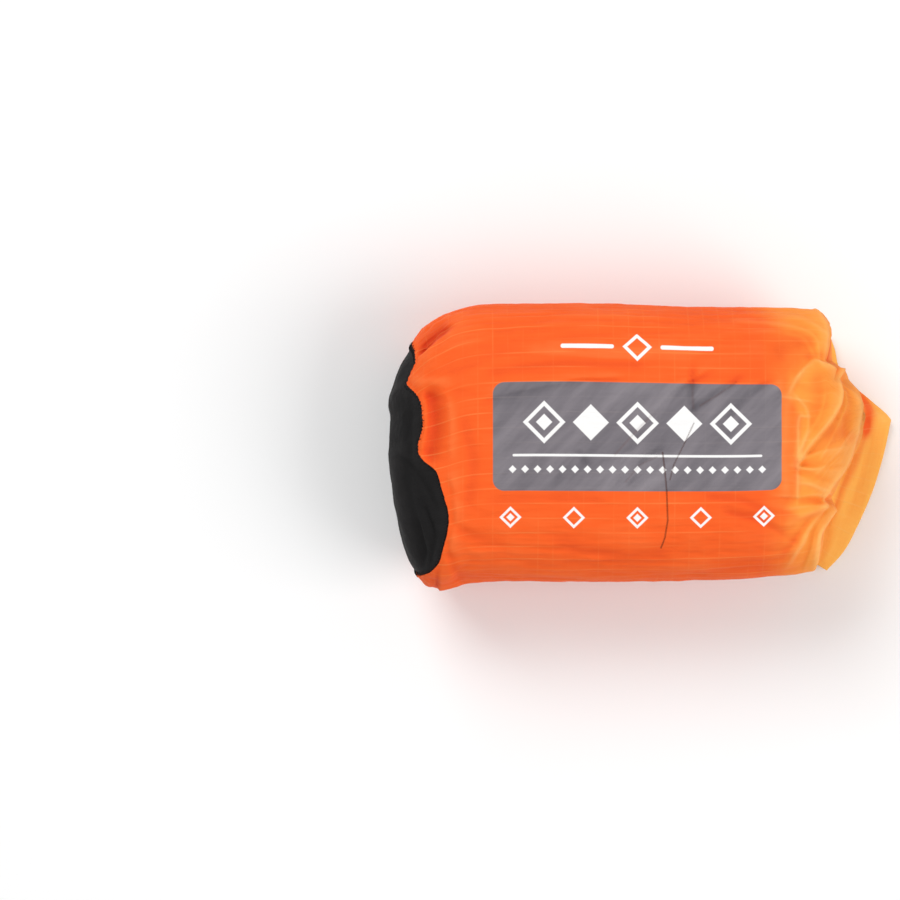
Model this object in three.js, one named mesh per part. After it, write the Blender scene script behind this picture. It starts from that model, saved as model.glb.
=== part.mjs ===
// A small ripstop stuff sack with a folded thermal sleeping bag packed inside it, lying on its back.
// +X runs from the sewn base panel to the folded mouth, +Y across the sack, +Z out of its printed face.
// Sizes are in millimetres. The origin is on the floor, under the middle of the whole sack.
import * as THREE from "three";

// Driving dimensions
const PANEL_THICKNESS = 1.0; // the base panel's cloth
const CLEARANCE = 0.55; // between the base panel and the body under it
const SEAM_GAP = 0.8; // from the base panel's rim to the seam, over the form
const LIP_HEIGHT = 0.4; // how far the body cloth swells up beside the base seam
const LIP_REACH = 3.0; // how far from the seam that swelling is full
const MOUTH_THICKNESS = 1.6; // two plies of cloth pressed together
const MOUTH_FOLD_HEIGHT = 4.6; // top of the folded edge above the floor
const FLOOR_PRESS = 0.3; // the mouth's lower ply is flat on the floor below this height
const FOLD_END = 2.5; // how far a fold takes to run out past its ends
const FACE_SHARPNESS = 2.0; // over 1 keeps the face's folds full further round its sides
const SEAT_GAP = 0.5; // between the mouth's upper ply and the body that it hangs from
const LOBE_ROOT = 40; // along the sack, where the gathered end's lobes begin
const LOBE_LENGTH = 8; // they are full so far past their root
const LOBE_FOOT = 10; // and above this height, over
const LOBE_RISE = 12; // so much height
const MIDDLE_X = -0.4; // from the tables' zero to the middle of the whole sack
const MIDDLE_Y = 0.12;

// Mesh density
const COLUMNS = 84; // points round the sack
const PANEL_ROWS = 7; // rows from the middle of the base to its seam
const BODY_ROWS = 50; // rows from the seam to the gathered end
const ROW_SPREAD = 1.12; // over 1 puts the body's rows closer together beside the seam
const MOUTH_ROWS_PER_STATION = 3;
const MOUTH_STEPS = 20; // steps along the folded mouth's line
const BISECTIONS = 40; // halvings to find a station

// The stuffed form: one row for each cross-section, from the nose of the base to the nose of the gathered end.
// top and bottom are its reach in +Y and -Y, face and back in +Z and -Z, square is the superellipse exponent.
// A back under 0 is pressed flat on the floor.
const SECTIONS = [
  { x: -63.0, top: 2.0, bottom: 2.0, face: 23.5, back: 23.5, square: 2.1 },
  { x: -62.5, top: 10.5, bottom: -8.5, face: 31.2, back: 15.6, square: 2.2 },
  { x: -61.0, top: 17.4, bottom: -18.5, face: 37.2, back: 9.4, square: 2.3 },
  { x: -58.4, top: 22.8, bottom: -26.6, face: 41.4, back: 4.8, square: 2.4 },
  { x: -54.8, top: 28.0, bottom: -32.8, face: 44.4, back: 1.6, square: 2.6 },
  { x: -50.0, top: 31.8, bottom: -35.4, face: 46.4, back: 0.0, square: 2.8 },
  { x: -43.0, top: 34.5, bottom: -33.9, face: 47.6, back: -1.0, square: 3.0 },
  { x: -33.0, top: 35.2, bottom: -33.5, face: 48.2, back: -1.4, square: 3.1 },
  { x: -18.0, top: 35.4, bottom: -33.5, face: 48.7, back: -1.5, square: 3.2 },
  { x: 0.0, top: 35.0, bottom: -33.3, face: 48.9, back: -1.5, square: 3.2 },
  { x: 15.0, top: 34.6, bottom: -33.0, face: 48.7, back: -1.3, square: 3.2 },
  { x: 26.0, top: 34.4, bottom: -32.6, face: 48.2, back: -0.3, square: 3.2 },
  { x: 34.0, top: 34.3, bottom: -32.0, face: 47.4, back: 2.4, square: 3.2 },
  { x: 40.0, top: 34.2, bottom: -31.4, face: 45.8, back: 4.4, square: 3.2 },
  { x: 43.6, top: 34.0, bottom: -30.0, face: 43.6, back: 6.4, square: 3.1 },
  { x: 45.8, top: 32.6, bottom: -24.6, face: 41.4, back: 8.0, square: 3.0 },
  { x: 47.4, top: 28.4, bottom: -19.8, face: 39.4, back: 9.2, square: 2.9 },
  { x: 48.8, top: 23.8, bottom: -15.8, face: 37.4, back: 10.2, square: 2.8 },
  { x: 50.2, top: 20.4, bottom: -10.0, face: 35.2, back: 11.0, square: 2.7 },
  { x: 52.0, top: 17.8, bottom: -5.0, face: 32.2, back: 12.2, square: 2.5 },
  { x: 53.8, top: 14.8, bottom: -1.0, face: 28.6, back: 13.6, square: 2.3 },
  { x: 55.4, top: 11.4, bottom: 3.4, face: 24.4, back: 15.8, square: 2.1 },
  { x: 56.2, top: 7.8, bottom: 7.8, face: 20.0, back: 20.0, square: 2.0 },
];

// The base seam: how far along the sack it lies, by the turn about the X axis (0 is +Y, 90 is the face).
const BASE_SEAM = [
  { turn: 0, x: -56.9 },
  { turn: 21.5, x: -56.5 },
  { turn: 34.1, x: -55.9 },
  { turn: 40.5, x: -55.7 },
  { turn: 45, x: -55.9 },
  { turn: 47.2, x: -57.3 },
  { turn: 49.5, x: -57.9 },
  { turn: 54, x: -57.2 },
  { turn: 59.3, x: -55.9 },
  { turn: 64, x: -54.8 },
  { turn: 69, x: -54.1 },
  { turn: 75.6, x: -54.0 },
  { turn: 80, x: -54.4 },
  { turn: 85.5, x: -55.2 },
  { turn: 89.2, x: -54.9 },
  { turn: 91.4, x: -54.2 },
  { turn: 94, x: -52.4 },
  { turn: 96.6, x: -50.8 },
  { turn: 100, x: -49.9 },
  { turn: 107.8, x: -48.8 },
  { turn: 115.6, x: -47.6 },
  { turn: 120.4, x: -47.8 },
  { turn: 127.8, x: -48.8 },
  { turn: 134.4, x: -49.7 },
  { turn: 141, x: -51.2 },
  { turn: 149.8, x: -53.4 },
  { turn: 165, x: -55.1 },
  { turn: 186, x: -55.6 },
  { turn: 209, x: -55.0 },
  { turn: 230.2, x: -52.4 },
  { turn: 257.2, x: -53.6 },
  { turn: 297.1, x: -52.2 },
  { turn: 317.3, x: -54.4 },
  { turn: 337.8, x: -56.4 },
];

// The main folds of the printed face, each a ridge (height over 0) or a trough along a straight stretch in plan.
const FACE_FOLDS = [
  { place: "dimple at the top base corner", x1: -56, y1: 21.5, x2: -49, y2: 27.6, width: 2.7, height: -1.7 },
  { place: "tongue of cloth over the seam", x1: -58, y1: 16.0, x2: -50, y2: 15.4, width: 2.8, height: 0.8 },
  { place: "dent behind the seam", x1: -53, y1: 11.5, x2: -51.4, y2: -1.5, width: 3.0, height: -1.7 },
  { place: "tuck at the bottom base corner", x1: -52, y1: -27, x2: -50.4, y2: -36, width: 2.0, height: -1.5 },
  { place: "hollow beside the top mouth corner", x1: 34, y1: 22.5, x2: 41, y2: 25.5, width: 3.6, height: -2.0 },
  { place: "top of the front pleat, inner", x1: 37.5, y1: 14.6, x2: 42, y2: 20.6, width: 2.5, height: -2.4 },
  { place: "top of the front pleat, outer", x1: 42, y1: 21.2, x2: 49, y2: 22.0, width: 2.5, height: -3.6 },
  { place: "crown of the front pleat, outer", x1: 51, y1: 16.6, x2: 46, y2: 7.5, width: 3.0, height: 2.6 },
  { place: "crown of the front pleat, inner", x1: 46, y1: 7.5, x2: 40.5, y2: 0.5, width: 2.8, height: 1.5 },
  { place: "valley behind the front pleat", x1: 52, y1: 8.0, x2: 43, y2: -3.5, width: 2.2, height: -1.6 },
  { place: "crown of the second pleat", x1: 54.0, y1: 6.0, x2: 48, y2: -9.6, width: 3.0, height: 3.0 },
  { place: "pucker towards the print", x1: 48.5, y1: -13.8, x2: 37, y2: -13.2, width: 2.2, height: -2.6 },
  { place: "crown of the lower pleat", x1: 47.0, y1: -18.5, x2: 43.6, y2: -27.5, width: 3.0, height: 2.4 },
  { place: "valley inside the lower pleat", x1: 44.0, y1: -15.5, x2: 37.4, y2: -27.4, width: 2.2, height: -1.6 },
  { place: "end of the packed load", x1: 39.6, y1: 9, x2: 39.6, y2: -19, width: 2.4, height: 0.6 },
];

// The mouth cloth, folded under the gathered end: one row for each station along its folded edge.
// edge is the folded edge in plan, root where the upper ply meets the body, hem where the lower ply ends.
const FOLDED_MOUTH = [
  { edgeX: 49.2, edgeY: 29.0, rootX: 43.6, rootY: 26.6, hemX: 42.2, hemY: 26.8 },
  { edgeX: 50.6, edgeY: 24.8, rootX: 45.8, rootY: 22.6, hemX: 37.6, hemY: 22.6 },
  { edgeX: 51.6, edgeY: 20.4, rootX: 47.4, rootY: 18.4, hemX: 35.4, hemY: 17.8 },
  { edgeX: 54.6, edgeY: 16.2, rootX: 49.8, rootY: 13.6, hemX: 34.4, hemY: 13.0 },
  { edgeX: 59.8, edgeY: 11.6, rootX: 51.6, rootY: 9.2, hemX: 34.0, hemY: 8.6 },
  { edgeX: 64.4, edgeY: 7.4, rootX: 52.2, rootY: 5.6, hemX: 33.8, hemY: 5.0 },
  { edgeX: 64.6, edgeY: 5.4, rootX: 52.2, rootY: 3.8, hemX: 33.8, hemY: 3.0 },
  { edgeX: 63.0, edgeY: -2.4, rootX: 51.2, rootY: -1.6, hemX: 33.8, hemY: -3.6 },
  { edgeX: 60.4, edgeY: -11.0, rootX: 48.8, rootY: -7.8, hemX: 34.0, hemY: -10.8 },
  { edgeX: 57.2, edgeY: -18.6, rootX: 46.4, rootY: -14.2, hemX: 34.6, hemY: -17.2 },
  { edgeX: 53.2, edgeY: -26.4, rootX: 43.8, rootY: -20.6, hemX: 35.8, hemY: -23.2 },
  { edgeX: 48.6, edgeY: -31.0, rootX: 41.6, rootY: -26.4, hemX: 39.6, hemY: -28.0 },
];

// How far the gathered end's upper half reaches past the smooth form, or short of it, at places across the sack.
const END_LOBES = [
  { y: 34, reach: 0 },
  { y: 27.5, reach: 0 },
  { y: 24, reach: -1.1 },
  { y: 21.2, reach: -1.9 },
  { y: 19.2, reach: 0.3 },
  { y: 16.6, reach: -0.9 },
  { y: 13.8, reach: 0.5 },
  { y: 10.6, reach: 0.7 },
  { y: 7, reach: 0 },
  { y: -4.4, reach: 0 },
  { y: -8.9, reach: -0.9 },
  { y: -12.6, reach: -2.0 },
  { y: -15.8, reach: 0.2 },
  { y: -18.9, reach: -0.6 },
  { y: -21.4, reach: -1.2 },
  { y: -25.9, reach: -0.6 },
  { y: -30, reach: 0 },
];

const ORANGE_RIPSTOP = new THREE.MeshStandardMaterial({ color: 0xf4622a, roughness: 0.62, metalness: 0 });
const BLACK_CLOTH = new THREE.MeshStandardMaterial({ color: 0x2a2928, roughness: 0.7, metalness: 0 });
const THIN_ORANGE_RIPSTOP = new THREE.MeshStandardMaterial({ color: 0xf8a04a, roughness: 0.58, metalness: 0 });

// A smooth value between four neighbours of a table, at share t from b to c.
function catmullRom(a, b, c, d, t) {
  const bend = 2 * a - 5 * b + 4 * c - d;
  const twist = -a + 3 * b - 3 * c + d;
  return 0.5 * (2 * b + (c - a) * t + bend * t * t + twist * t * t * t);
}

// A row of a table, read smoothly at a fractional index, with the table's ends held.
function rowAt(table, index) {
  const last = table.length - 1;
  const at = Math.min(Math.max(index, 0), last);
  const low = Math.min(Math.floor(at), last - 1);
  const near = [low - 1, low, low + 1, low + 2].map((i) => table[Math.min(Math.max(i, 0), last)]);
  const read = (name) => catmullRom(near[0][name], near[1][name], near[2][name], near[3][name], at - low);
  return Object.fromEntries(Object.keys(table[0]).map((name) => [name, read(name)]));
}

// A point of the smooth form, before its folds: station is an index into SECTIONS, turn is in radians.
function formPoint(station, turn) {
  const s = rowAt(SECTIONS, station);
  const cos = Math.cos(turn);
  const sin = Math.sin(turn);
  const reach = (Math.abs(cos) ** s.square + Math.abs(sin) ** s.square) ** (-1 / s.square);
  return new THREE.Vector3(
    s.x,
    (s.top + s.bottom) / 2 + ((s.top - s.bottom) / 2) * reach * cos,
    (s.face + s.back) / 2 + ((s.face - s.back) / 2) * reach * sin,
  );
}

// The outward direction of the smooth form, from two short steps on it.
function formNormal(station, turn) {
  const step = 0.02;
  const kept = Math.min(Math.max(station, step), SECTIONS.length - 1 - step);
  const along = formPoint(kept + step / 2, turn).sub(formPoint(kept - step / 2, turn));
  const round = formPoint(kept, turn + step).sub(formPoint(kept, turn - step));
  return round.cross(along).normalize();
}

// The height of the body's underside above a point in plan.
function undersideAt(x, y) {
  const s = rowAt(SECTIONS, stationAt(x));
  const across = Math.min(Math.abs((2 * y - s.top - s.bottom) / (s.top - s.bottom)), 1);
  const depth = (1 - across ** s.square) ** (1 / s.square);
  return (s.face + s.back) / 2 - ((s.face - s.back) / 2) * depth;
}

// The height of the face's folds at a point in plan.
function foldHeight(x, y) {
  let height = 0;
  for (const fold of FACE_FOLDS) {
    const dx = fold.x2 - fold.x1;
    const dy = fold.y2 - fold.y1;
    const length = Math.hypot(dx, dy);
    const along = ((x - fold.x1) * dx + (y - fold.y1) * dy) / length;
    const off = ((x - fold.x1) * dy - (y - fold.y1) * dx) / length;
    const past = Math.max(0, -along, along - length);
    height += fold.height * Math.exp(-((off / fold.width) ** 2) - (past / FOLD_END) ** 2);
  }
  return height;
}

// How far a point of the gathered end is shifted along the sack by the lobe that it lies in.
function lobeReach(point) {
  const next = Math.max(END_LOBES.findIndex((lobe) => lobe.y < point.y), 1);
  const [before, after] = [END_LOBES[next - 1], END_LOBES[next]];
  const share = THREE.MathUtils.clamp((before.y - point.y) / (before.y - after.y), 0, 1);
  const along = THREE.MathUtils.clamp((point.x - LOBE_ROOT) / LOBE_LENGTH, 0, 1);
  const up = THREE.MathUtils.clamp((point.z - LOBE_FOOT) / LOBE_RISE, 0, 1);
  return THREE.MathUtils.lerp(before.reach, after.reach, share) * along * up;
}

// A point raised by so much off the smooth form, and kept on the floor.
function raisedPoint(station, turn, raised) {
  const point = formPoint(station, turn).addScaledVector(formNormal(station, turn), raised);
  return point.setZ(Math.max(point.z, 0));
}

// A point of the body's cloth, with its swelling beside the base seam and the upright relief of its face's folds.
function clothPoint(station, turn) {
  const { x, y } = formPoint(station, turn);
  const fromSeam = Math.max(rowAt(SECTIONS, station).x - seamX(turn), 0) / LIP_REACH;
  const point = raisedPoint(station, turn, LIP_HEIGHT * fromSeam * Math.exp(1 - fromSeam));
  const faceShare = THREE.MathUtils.clamp(formNormal(station, turn).z * FACE_SHARPNESS, 0, 1);
  point.z += Math.min(fromSeam, 1) * faceShare * foldHeight(x, y);
  return point.setX(point.x + lobeReach(point));
}

// The base seam's place along the sack at a turn in radians, read smoothly round the closed loop.
function seamX(turn) {
  const degrees = ((THREE.MathUtils.radToDeg(turn) % 360) + 360) % 360;
  const count = BASE_SEAM.length;
  const row = (i) => BASE_SEAM[(i + count) % count];
  const low = BASE_SEAM.findLastIndex((r) => r.turn <= degrees);
  const next = low + 1 < count ? BASE_SEAM[low + 1].turn : 360;
  const share = (degrees - BASE_SEAM[low].turn) / (next - BASE_SEAM[low].turn);
  return catmullRom(row(low - 1).x, row(low).x, row(low + 1).x, row(low + 2).x, share);
}

// The last station, up to a highest one, before which a test holds.
function stationWhere(highest, holds) {
  let low = 0;
  let high = highest;
  for (let i = 0; i < BISECTIONS; i += 1) {
    const middle = (low + high) / 2;
    if (holds(middle)) low = middle;
    else high = middle;
  }
  return low;
}

// The station whose section lies at x.
function stationAt(x) {
  return stationWhere(SECTIONS.length - 1, (station) => rowAt(SECTIONS, station).x < x);
}

// A closed body from rings of points, each running the same way round. A ring of one point closes an end.
function ringBody(rings) {
  const triangles = [];
  for (let r = 0; r + 1 < rings.length; r += 1) {
    const here = rings[r];
    const next = rings[r + 1];
    for (let i = 0; i < COLUMNS; i += 1) {
      const a = here[i % here.length];
      const b = here[(i + 1) % here.length];
      const c = next[(i + 1) % next.length];
      const d = next[i % next.length];
      if (here.length > 1) triangles.push([a, b, c]);
      if (next.length > 1) triangles.push([a, c, d]);
    }
  }
  return solidGeometry(triangles);
}

// A closed sheet from two grids of points, its outer face and its inner one, with a rim round all four sides.
function sheetBody(outer, inner) {
  const triangles = [];
  const quad = (a, b, c, d) => triangles.push([a, c, b], [a, d, c]);
  const lastRow = outer.length - 1;
  const lastStep = outer[0].length - 1;
  for (let r = 0; r < lastRow; r += 1) {
    for (let i = 0; i < lastStep; i += 1) {
      quad(outer[r][i], outer[r][i + 1], outer[r + 1][i + 1], outer[r + 1][i]);
      quad(inner[r][i], inner[r + 1][i], inner[r + 1][i + 1], inner[r][i + 1]);
    }
    quad(outer[r][0], outer[r + 1][0], inner[r + 1][0], inner[r][0]);
    quad(outer[r][lastStep], inner[r][lastStep], inner[r + 1][lastStep], outer[r + 1][lastStep]);
  }
  for (let i = 0; i < lastStep; i += 1) {
    quad(outer[0][i], inner[0][i], inner[0][i + 1], outer[0][i + 1]);
    quad(outer[lastRow][i], outer[lastRow][i + 1], inner[lastRow][i + 1], inner[lastRow][i]);
  }
  return solidGeometry(triangles);
}

// A geometry from triangles of points.
function solidGeometry(triangles) {
  const positions = triangles.flat().flatMap((point) => point.toArray());
  const geometry = new THREE.BufferGeometry();
  geometry.setAttribute("position", new THREE.Float32BufferAttribute(positions, 3));
  geometry.computeVertexNormals();
  return geometry;
}

// One ring round the sack, of the point that each turn gives.
function sackRing(pointOf) {
  return Array.from({ length: COLUMNS }, (_, i) => pointOf((i / COLUMNS) * 2 * Math.PI));
}

// The rings from the middle of the base out to a rim, all at one height off the outer face.
function baseRings(rimOf, raised) {
  const rings = [[raisedPoint(0, 0, raised)]];
  for (let r = 1; r <= PANEL_ROWS; r += 1) {
    rings.push(sackRing((turn) => raisedPoint((rimOf(turn) * r) / PANEL_ROWS, turn, raised)));
  }
  return rings;
}

// The stuffed body of orange cloth, with a recess for the base panel inside its seam.
function makeBody() {
  const last = SECTIONS.length - 1;
  const seam = (turn) => stationAt(seamX(turn));
  const rings = baseRings(seam, -(PANEL_THICKNESS + CLEARANCE));
  for (let r = 0; r < BODY_ROWS; r += 1) {
    const share = (r / BODY_ROWS) ** ROW_SPREAD;
    rings.push(sackRing((turn) => clothPoint(THREE.MathUtils.lerp(seam(turn), last, share), turn)));
  }
  rings.push([clothPoint(last, 0)]);
  return ringBody(rings);
}

// The station of the base panel's rim at a turn: short of the seam by the gap between them.
function rimStation(turn) {
  const seam = stationAt(seamX(turn));
  const edge = formPoint(seam, turn);
  return stationWhere(seam, (station) => formPoint(station, turn).distanceTo(edge) > SEAM_GAP);
}

// The base panel: a thin black sheet on the recess, its rim just short of the seam.
function makeBasePanel() {
  return ringBody([...baseRings(rimStation, 0), ...baseRings(rimStation, -PANEL_THICKNESS).reverse()]);
}

// The line that the mouth cloth follows at one station: down from the body, round the fold and back to the hem.
function mouthLine(station) {
  const half = MOUTH_THICKNESS / 2;
  const upper = MOUTH_FOLD_HEIGHT - half;
  const seat = undersideAt(station.rootX, station.rootY) - SEAT_GAP - half;
  const root = new THREE.Vector3(station.rootX, station.rootY, seat);
  const edge = new THREE.Vector3(station.edgeX, station.edgeY, (upper + half) / 2);
  const hem = new THREE.Vector3(station.hemX, station.hemY, half);
  const back = edge.clone().sub(root).setZ(0).normalize().multiplyScalar(-1);
  const behind = (distance, z) => edge.clone().addScaledVector(back, distance).setZ(z);
  const shoulder = edge.z; // how far the plies lie apart is how far the fold takes to turn
  return new THREE.CatmullRomCurve3([
    root,
    root.clone().lerp(behind(half + shoulder, upper), 0.5).setZ(THREE.MathUtils.lerp(root.z, upper, 0.62)),
    behind(half + shoulder, upper),
    behind(half, edge.z),
    behind(half + shoulder, half),
    hem.clone().lerp(behind(half + shoulder, half), 0.5),
    hem,
  ], false, "centripetal");
}

// The folded mouth: its line, thickened both ways, at stations along the folded edge.
function makeFoldedMouth() {
  const rows = (FOLDED_MOUTH.length - 1) * MOUTH_ROWS_PER_STATION;
  const half = MOUTH_THICKNESS / 2;
  const outer = [];
  const inner = [];
  for (let r = 0; r <= rows; r += 1) {
    const station = rowAt(FOLDED_MOUTH, r / MOUTH_ROWS_PER_STATION);
    const line = mouthLine(station);
    const side = new THREE.Vector3(station.rootY - station.edgeY, station.edgeX - station.rootX, 0).normalize();
    const across = Array.from({ length: MOUTH_STEPS + 1 }, (_, i) => i / MOUTH_STEPS).map((share) => ({
      point: line.getPointAt(share),
      out: line.getTangentAt(share).cross(side).normalize().multiplyScalar(half),
    }));
    outer.push(across.map(({ point, out }) => onFloor(point.clone().add(out))));
    inner.push(across.map(({ point, out }) => point.clone().sub(out)));
  }
  return sheetBody(outer, inner);
}

// A point within a hair of the floor is pressed flat on it.
function onFloor(point) {
  return point.setZ(point.z < FLOOR_PRESS ? 0 : point.z);
}

// A named part of the sack, moved so that the whole is centred.
function part(name, geometry, material) {
  const mesh = new THREE.Mesh(geometry.translate(MIDDLE_X, MIDDLE_Y, 0), material);
  mesh.name = name;
  return mesh;
}

const sack = new THREE.Group();
sack.add(
  part("sack_body", makeBody(), ORANGE_RIPSTOP),
  part("base_panel", makeBasePanel(), BLACK_CLOTH),
  part("folded_mouth", makeFoldedMouth(), THIN_ORANGE_RIPSTOP),
);

export default sack;
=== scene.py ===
"""A small stuffed ripstop sack with a sewn dark base and a folded mouth, lying on its back.

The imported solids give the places. Each class here models one of the sack's own pieces over them, and each
finish builds one of its materials. Tables and sizes are in millimetres, and meshes are in metres.
"""

import logging
import math
from dataclasses import astuple, dataclass, field
from enum import Enum

import bmesh
import bpy
import numpy as np
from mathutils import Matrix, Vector, noise


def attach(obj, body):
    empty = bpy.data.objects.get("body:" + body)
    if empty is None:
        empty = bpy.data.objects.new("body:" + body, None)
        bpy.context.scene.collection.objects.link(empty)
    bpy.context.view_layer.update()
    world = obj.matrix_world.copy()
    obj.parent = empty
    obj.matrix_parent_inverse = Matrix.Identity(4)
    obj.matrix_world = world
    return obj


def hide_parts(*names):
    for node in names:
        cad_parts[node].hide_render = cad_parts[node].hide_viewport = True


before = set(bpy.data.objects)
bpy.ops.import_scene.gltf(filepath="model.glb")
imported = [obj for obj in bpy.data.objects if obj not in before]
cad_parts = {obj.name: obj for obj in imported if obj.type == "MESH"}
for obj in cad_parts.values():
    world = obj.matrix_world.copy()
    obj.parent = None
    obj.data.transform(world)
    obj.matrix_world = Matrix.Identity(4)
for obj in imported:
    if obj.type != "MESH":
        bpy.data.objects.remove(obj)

LOG = logging.getLogger("sack")
MM = 0.001
UV_PER_MM = 0.01

# The part's own values and tables, repeated from its source so that every piece lies where its solid does.
PANEL_THICKNESS = 1.0
CLEARANCE = 0.55
LIP_HEIGHT = 0.4
LIP_REACH = 3.0
MOUTH_THICKNESS = 1.6
MOUTH_FOLD_HEIGHT = 4.6
SEAT_GAP = 0.5
FOLD_END = 2.5
FACE_SHARPNESS = 2.0
LOBE_ROOT = 40.0
LOBE_LENGTH = 8.0
LOBE_FOOT = 10.0
LOBE_RISE = 12.0
MIDDLE = np.array([-0.4, 0.12, 0.0])

FORM_SAMPLES = 4000
ROW_CLOSENESS_PLACES = (-46.0, -40.0, 30.0, 36.0)
ROW_CLOSENESS = (1.4, 0.85, 0.85, 1.9)


@dataclass(frozen=True)
class Section:
    """One cross-section of the stuffed form: its reach each way, and its superellipse exponent."""

    x: float
    top: float
    bottom: float
    face: float
    back: float
    square: float


SECTIONS = (
    Section(-63.0, 2.0, 2.0, 23.5, 23.5, 2.1),
    Section(-62.5, 10.5, -8.5, 31.2, 15.6, 2.2),
    Section(-61.0, 17.4, -18.5, 37.2, 9.4, 2.3),
    Section(-58.4, 22.8, -26.6, 41.4, 4.8, 2.4),
    Section(-54.8, 28.0, -32.8, 44.4, 1.6, 2.6),
    Section(-50.0, 31.8, -35.4, 46.4, 0.0, 2.8),
    Section(-43.0, 34.5, -33.9, 47.6, -1.0, 3.0),
    Section(-33.0, 35.2, -33.5, 48.2, -1.4, 3.1),
    Section(-18.0, 35.4, -33.5, 48.7, -1.5, 3.2),
    Section(0.0, 35.0, -33.3, 48.9, -1.5, 3.2),
    Section(15.0, 34.6, -33.0, 48.7, -1.3, 3.2),
    Section(26.0, 34.4, -32.6, 48.2, -0.3, 3.2),
    Section(34.0, 34.3, -32.0, 47.4, 2.4, 3.2),
    Section(40.0, 34.2, -31.4, 45.8, 4.4, 3.2),
    Section(43.6, 34.0, -30.0, 43.6, 6.4, 3.1),
    Section(45.8, 32.6, -24.6, 41.4, 8.0, 3.0),
    Section(47.4, 28.4, -19.8, 39.4, 9.2, 2.9),
    Section(48.8, 23.8, -15.8, 37.4, 10.2, 2.8),
    Section(50.2, 20.4, -10.0, 35.2, 11.0, 2.7),
    Section(52.0, 17.8, -5.0, 32.2, 12.2, 2.5),
    Section(53.8, 14.8, -1.0, 28.6, 13.6, 2.3),
    Section(55.4, 11.4, 3.4, 24.4, 15.8, 2.1),
    Section(56.2, 7.8, 7.8, 20.0, 20.0, 2.0),
)


@dataclass(frozen=True)
class SeamPoint:
    """One point of the base seam: its turn about the X axis in degrees, and its place along the sack."""

    turn: float
    x: float


BASE_SEAM = tuple(SeamPoint(*row) for row in (
    (0.0, -56.9), (21.5, -56.5), (34.1, -55.9), (40.5, -55.7), (45.0, -55.9), (47.2, -57.3),
    (49.5, -57.9), (54.0, -57.2), (59.3, -55.9), (64.0, -54.8), (69.0, -54.1), (75.6, -54.0),
    (80.0, -54.4), (85.5, -55.2), (89.2, -54.9), (91.4, -54.2), (94.0, -52.4), (96.6, -50.8),
    (100.0, -49.9), (107.8, -48.8), (115.6, -47.6), (120.4, -47.8), (127.8, -48.8), (134.4, -49.7),
    (141.0, -51.2), (149.8, -53.4), (165.0, -55.1), (186.0, -55.6), (209.0, -55.0), (230.2, -52.4),
    (257.2, -53.6), (297.1, -52.2), (317.3, -54.4), (337.8, -56.4),
))


@dataclass(frozen=True)
class EndLobe:
    """How far the gathered end's upper half reaches past the smooth form at a place across the sack."""

    y: float
    reach: float


END_LOBES = tuple(EndLobe(*row) for row in (
    (34.0, 0.0), (27.5, 0.0), (24.0, -1.1), (21.2, -1.9), (19.2, 0.3), (16.6, -0.9), (13.8, 0.5),
    (10.6, 0.7), (7.0, 0.0), (-4.4, 0.0), (-8.9, -0.9), (-12.6, -2.0), (-15.8, 0.2), (-18.9, -0.6),
    (-21.4, -1.2), (-25.9, -0.6), (-30.0, 0.0),
))


@dataclass(frozen=True)
class LoadEdge:
    """Where, and how softly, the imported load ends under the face's cloth, at a place across the sack."""

    y: float
    x: float
    softness: float


LOAD_EDGE = tuple(LoadEdge(*row) for row in (
    (-34.0, 39.0, 5.0), (-28.0, 38.0, 3.5), (-20.0, 36.8, 2.5), (-15.0, 36.4, 2.5), (-12.0, 37.8, 0.9),
    (0.0, 38.0, 0.7), (7.0, 38.2, 0.9), (12.0, 36.0, 1.6), (18.5, 37.6, 2.5), (22.0, 40.6, 2.5),
    (26.0, 41.0, 3.0), (30.0, 37.0, 7.0), (34.0, 33.0, 9.0),
))


@dataclass(frozen=True)
class Fold:
    """A ridge (height over 0) or a trough in the cloth, along a smooth path in plan.

    left and right are how far it spreads to each hand of the path, and start and end are the shares of its
    height there. A valley over 0 makes a tuck of it: the cloth on the left lies over the cloth on the right,
    which is that much lower beside the path and comes up again over the distance under. A steep fold keeps
    its height down the upper half of the sack's sides.
    """

    place: str
    path: tuple[tuple[float, float], ...]
    left: float
    right: float
    height: float
    valley: float = 0.0
    under: float = 2.0
    start: float = 1.0
    end: float = 1.0
    steep: bool = False
    steps: int = 48

    def relief(self, x: np.ndarray, y: np.ndarray) -> np.ndarray:
        """Works out the fold's height over points in plan.

        Args:
            x: How far along the sack each point lies.
            y: How far across the sack each point lies.

        Returns:
            The height of the fold at each point.
        """
        knots = np.array(self.path)
        line = read_smoothly(knots, np.linspace(0, len(knots) - 1, self.steps))
        heading = np.gradient(line, axis=0)
        heading /= np.linalg.norm(heading, axis=1, keepdims=True)
        margin = 3 * max(self.left, self.right, self.under, FOLD_END)
        low, high = line.min(axis=0) - margin, line.max(axis=0) + margin
        near = np.flatnonzero((x > low[0]) & (x < high[0]) & (y > low[1]) & (y < high[1]))
        away = np.stack([x[near], y[near]], axis=1)[:, None] - line
        nearest = np.argmin((away**2).sum(axis=2), axis=1)
        away = away[np.arange(len(near)), nearest]
        ahead = heading[nearest]
        off = away[:, 0] * ahead[:, 1] - away[:, 1] * ahead[:, 0]
        onward = (away * ahead).sum(axis=1)
        past = np.where(nearest == 0, -onward, np.where(nearest == self.steps - 1, onward, 0))
        crest = np.exp(-((off / np.where(off > 0, self.right, self.left)) ** 2))
        dip = np.where(off > 0, crest - np.exp(-((off / self.under) ** 2)), 0)
        share = self.start + (self.end - self.start) * nearest / (self.steps - 1)
        height = np.zeros_like(x)
        fade = np.exp(-((np.maximum(past, 0) / FOLD_END) ** 2))
        height[near] = (self.height * crest + self.valley * dip) * share * fade
        return height


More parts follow.
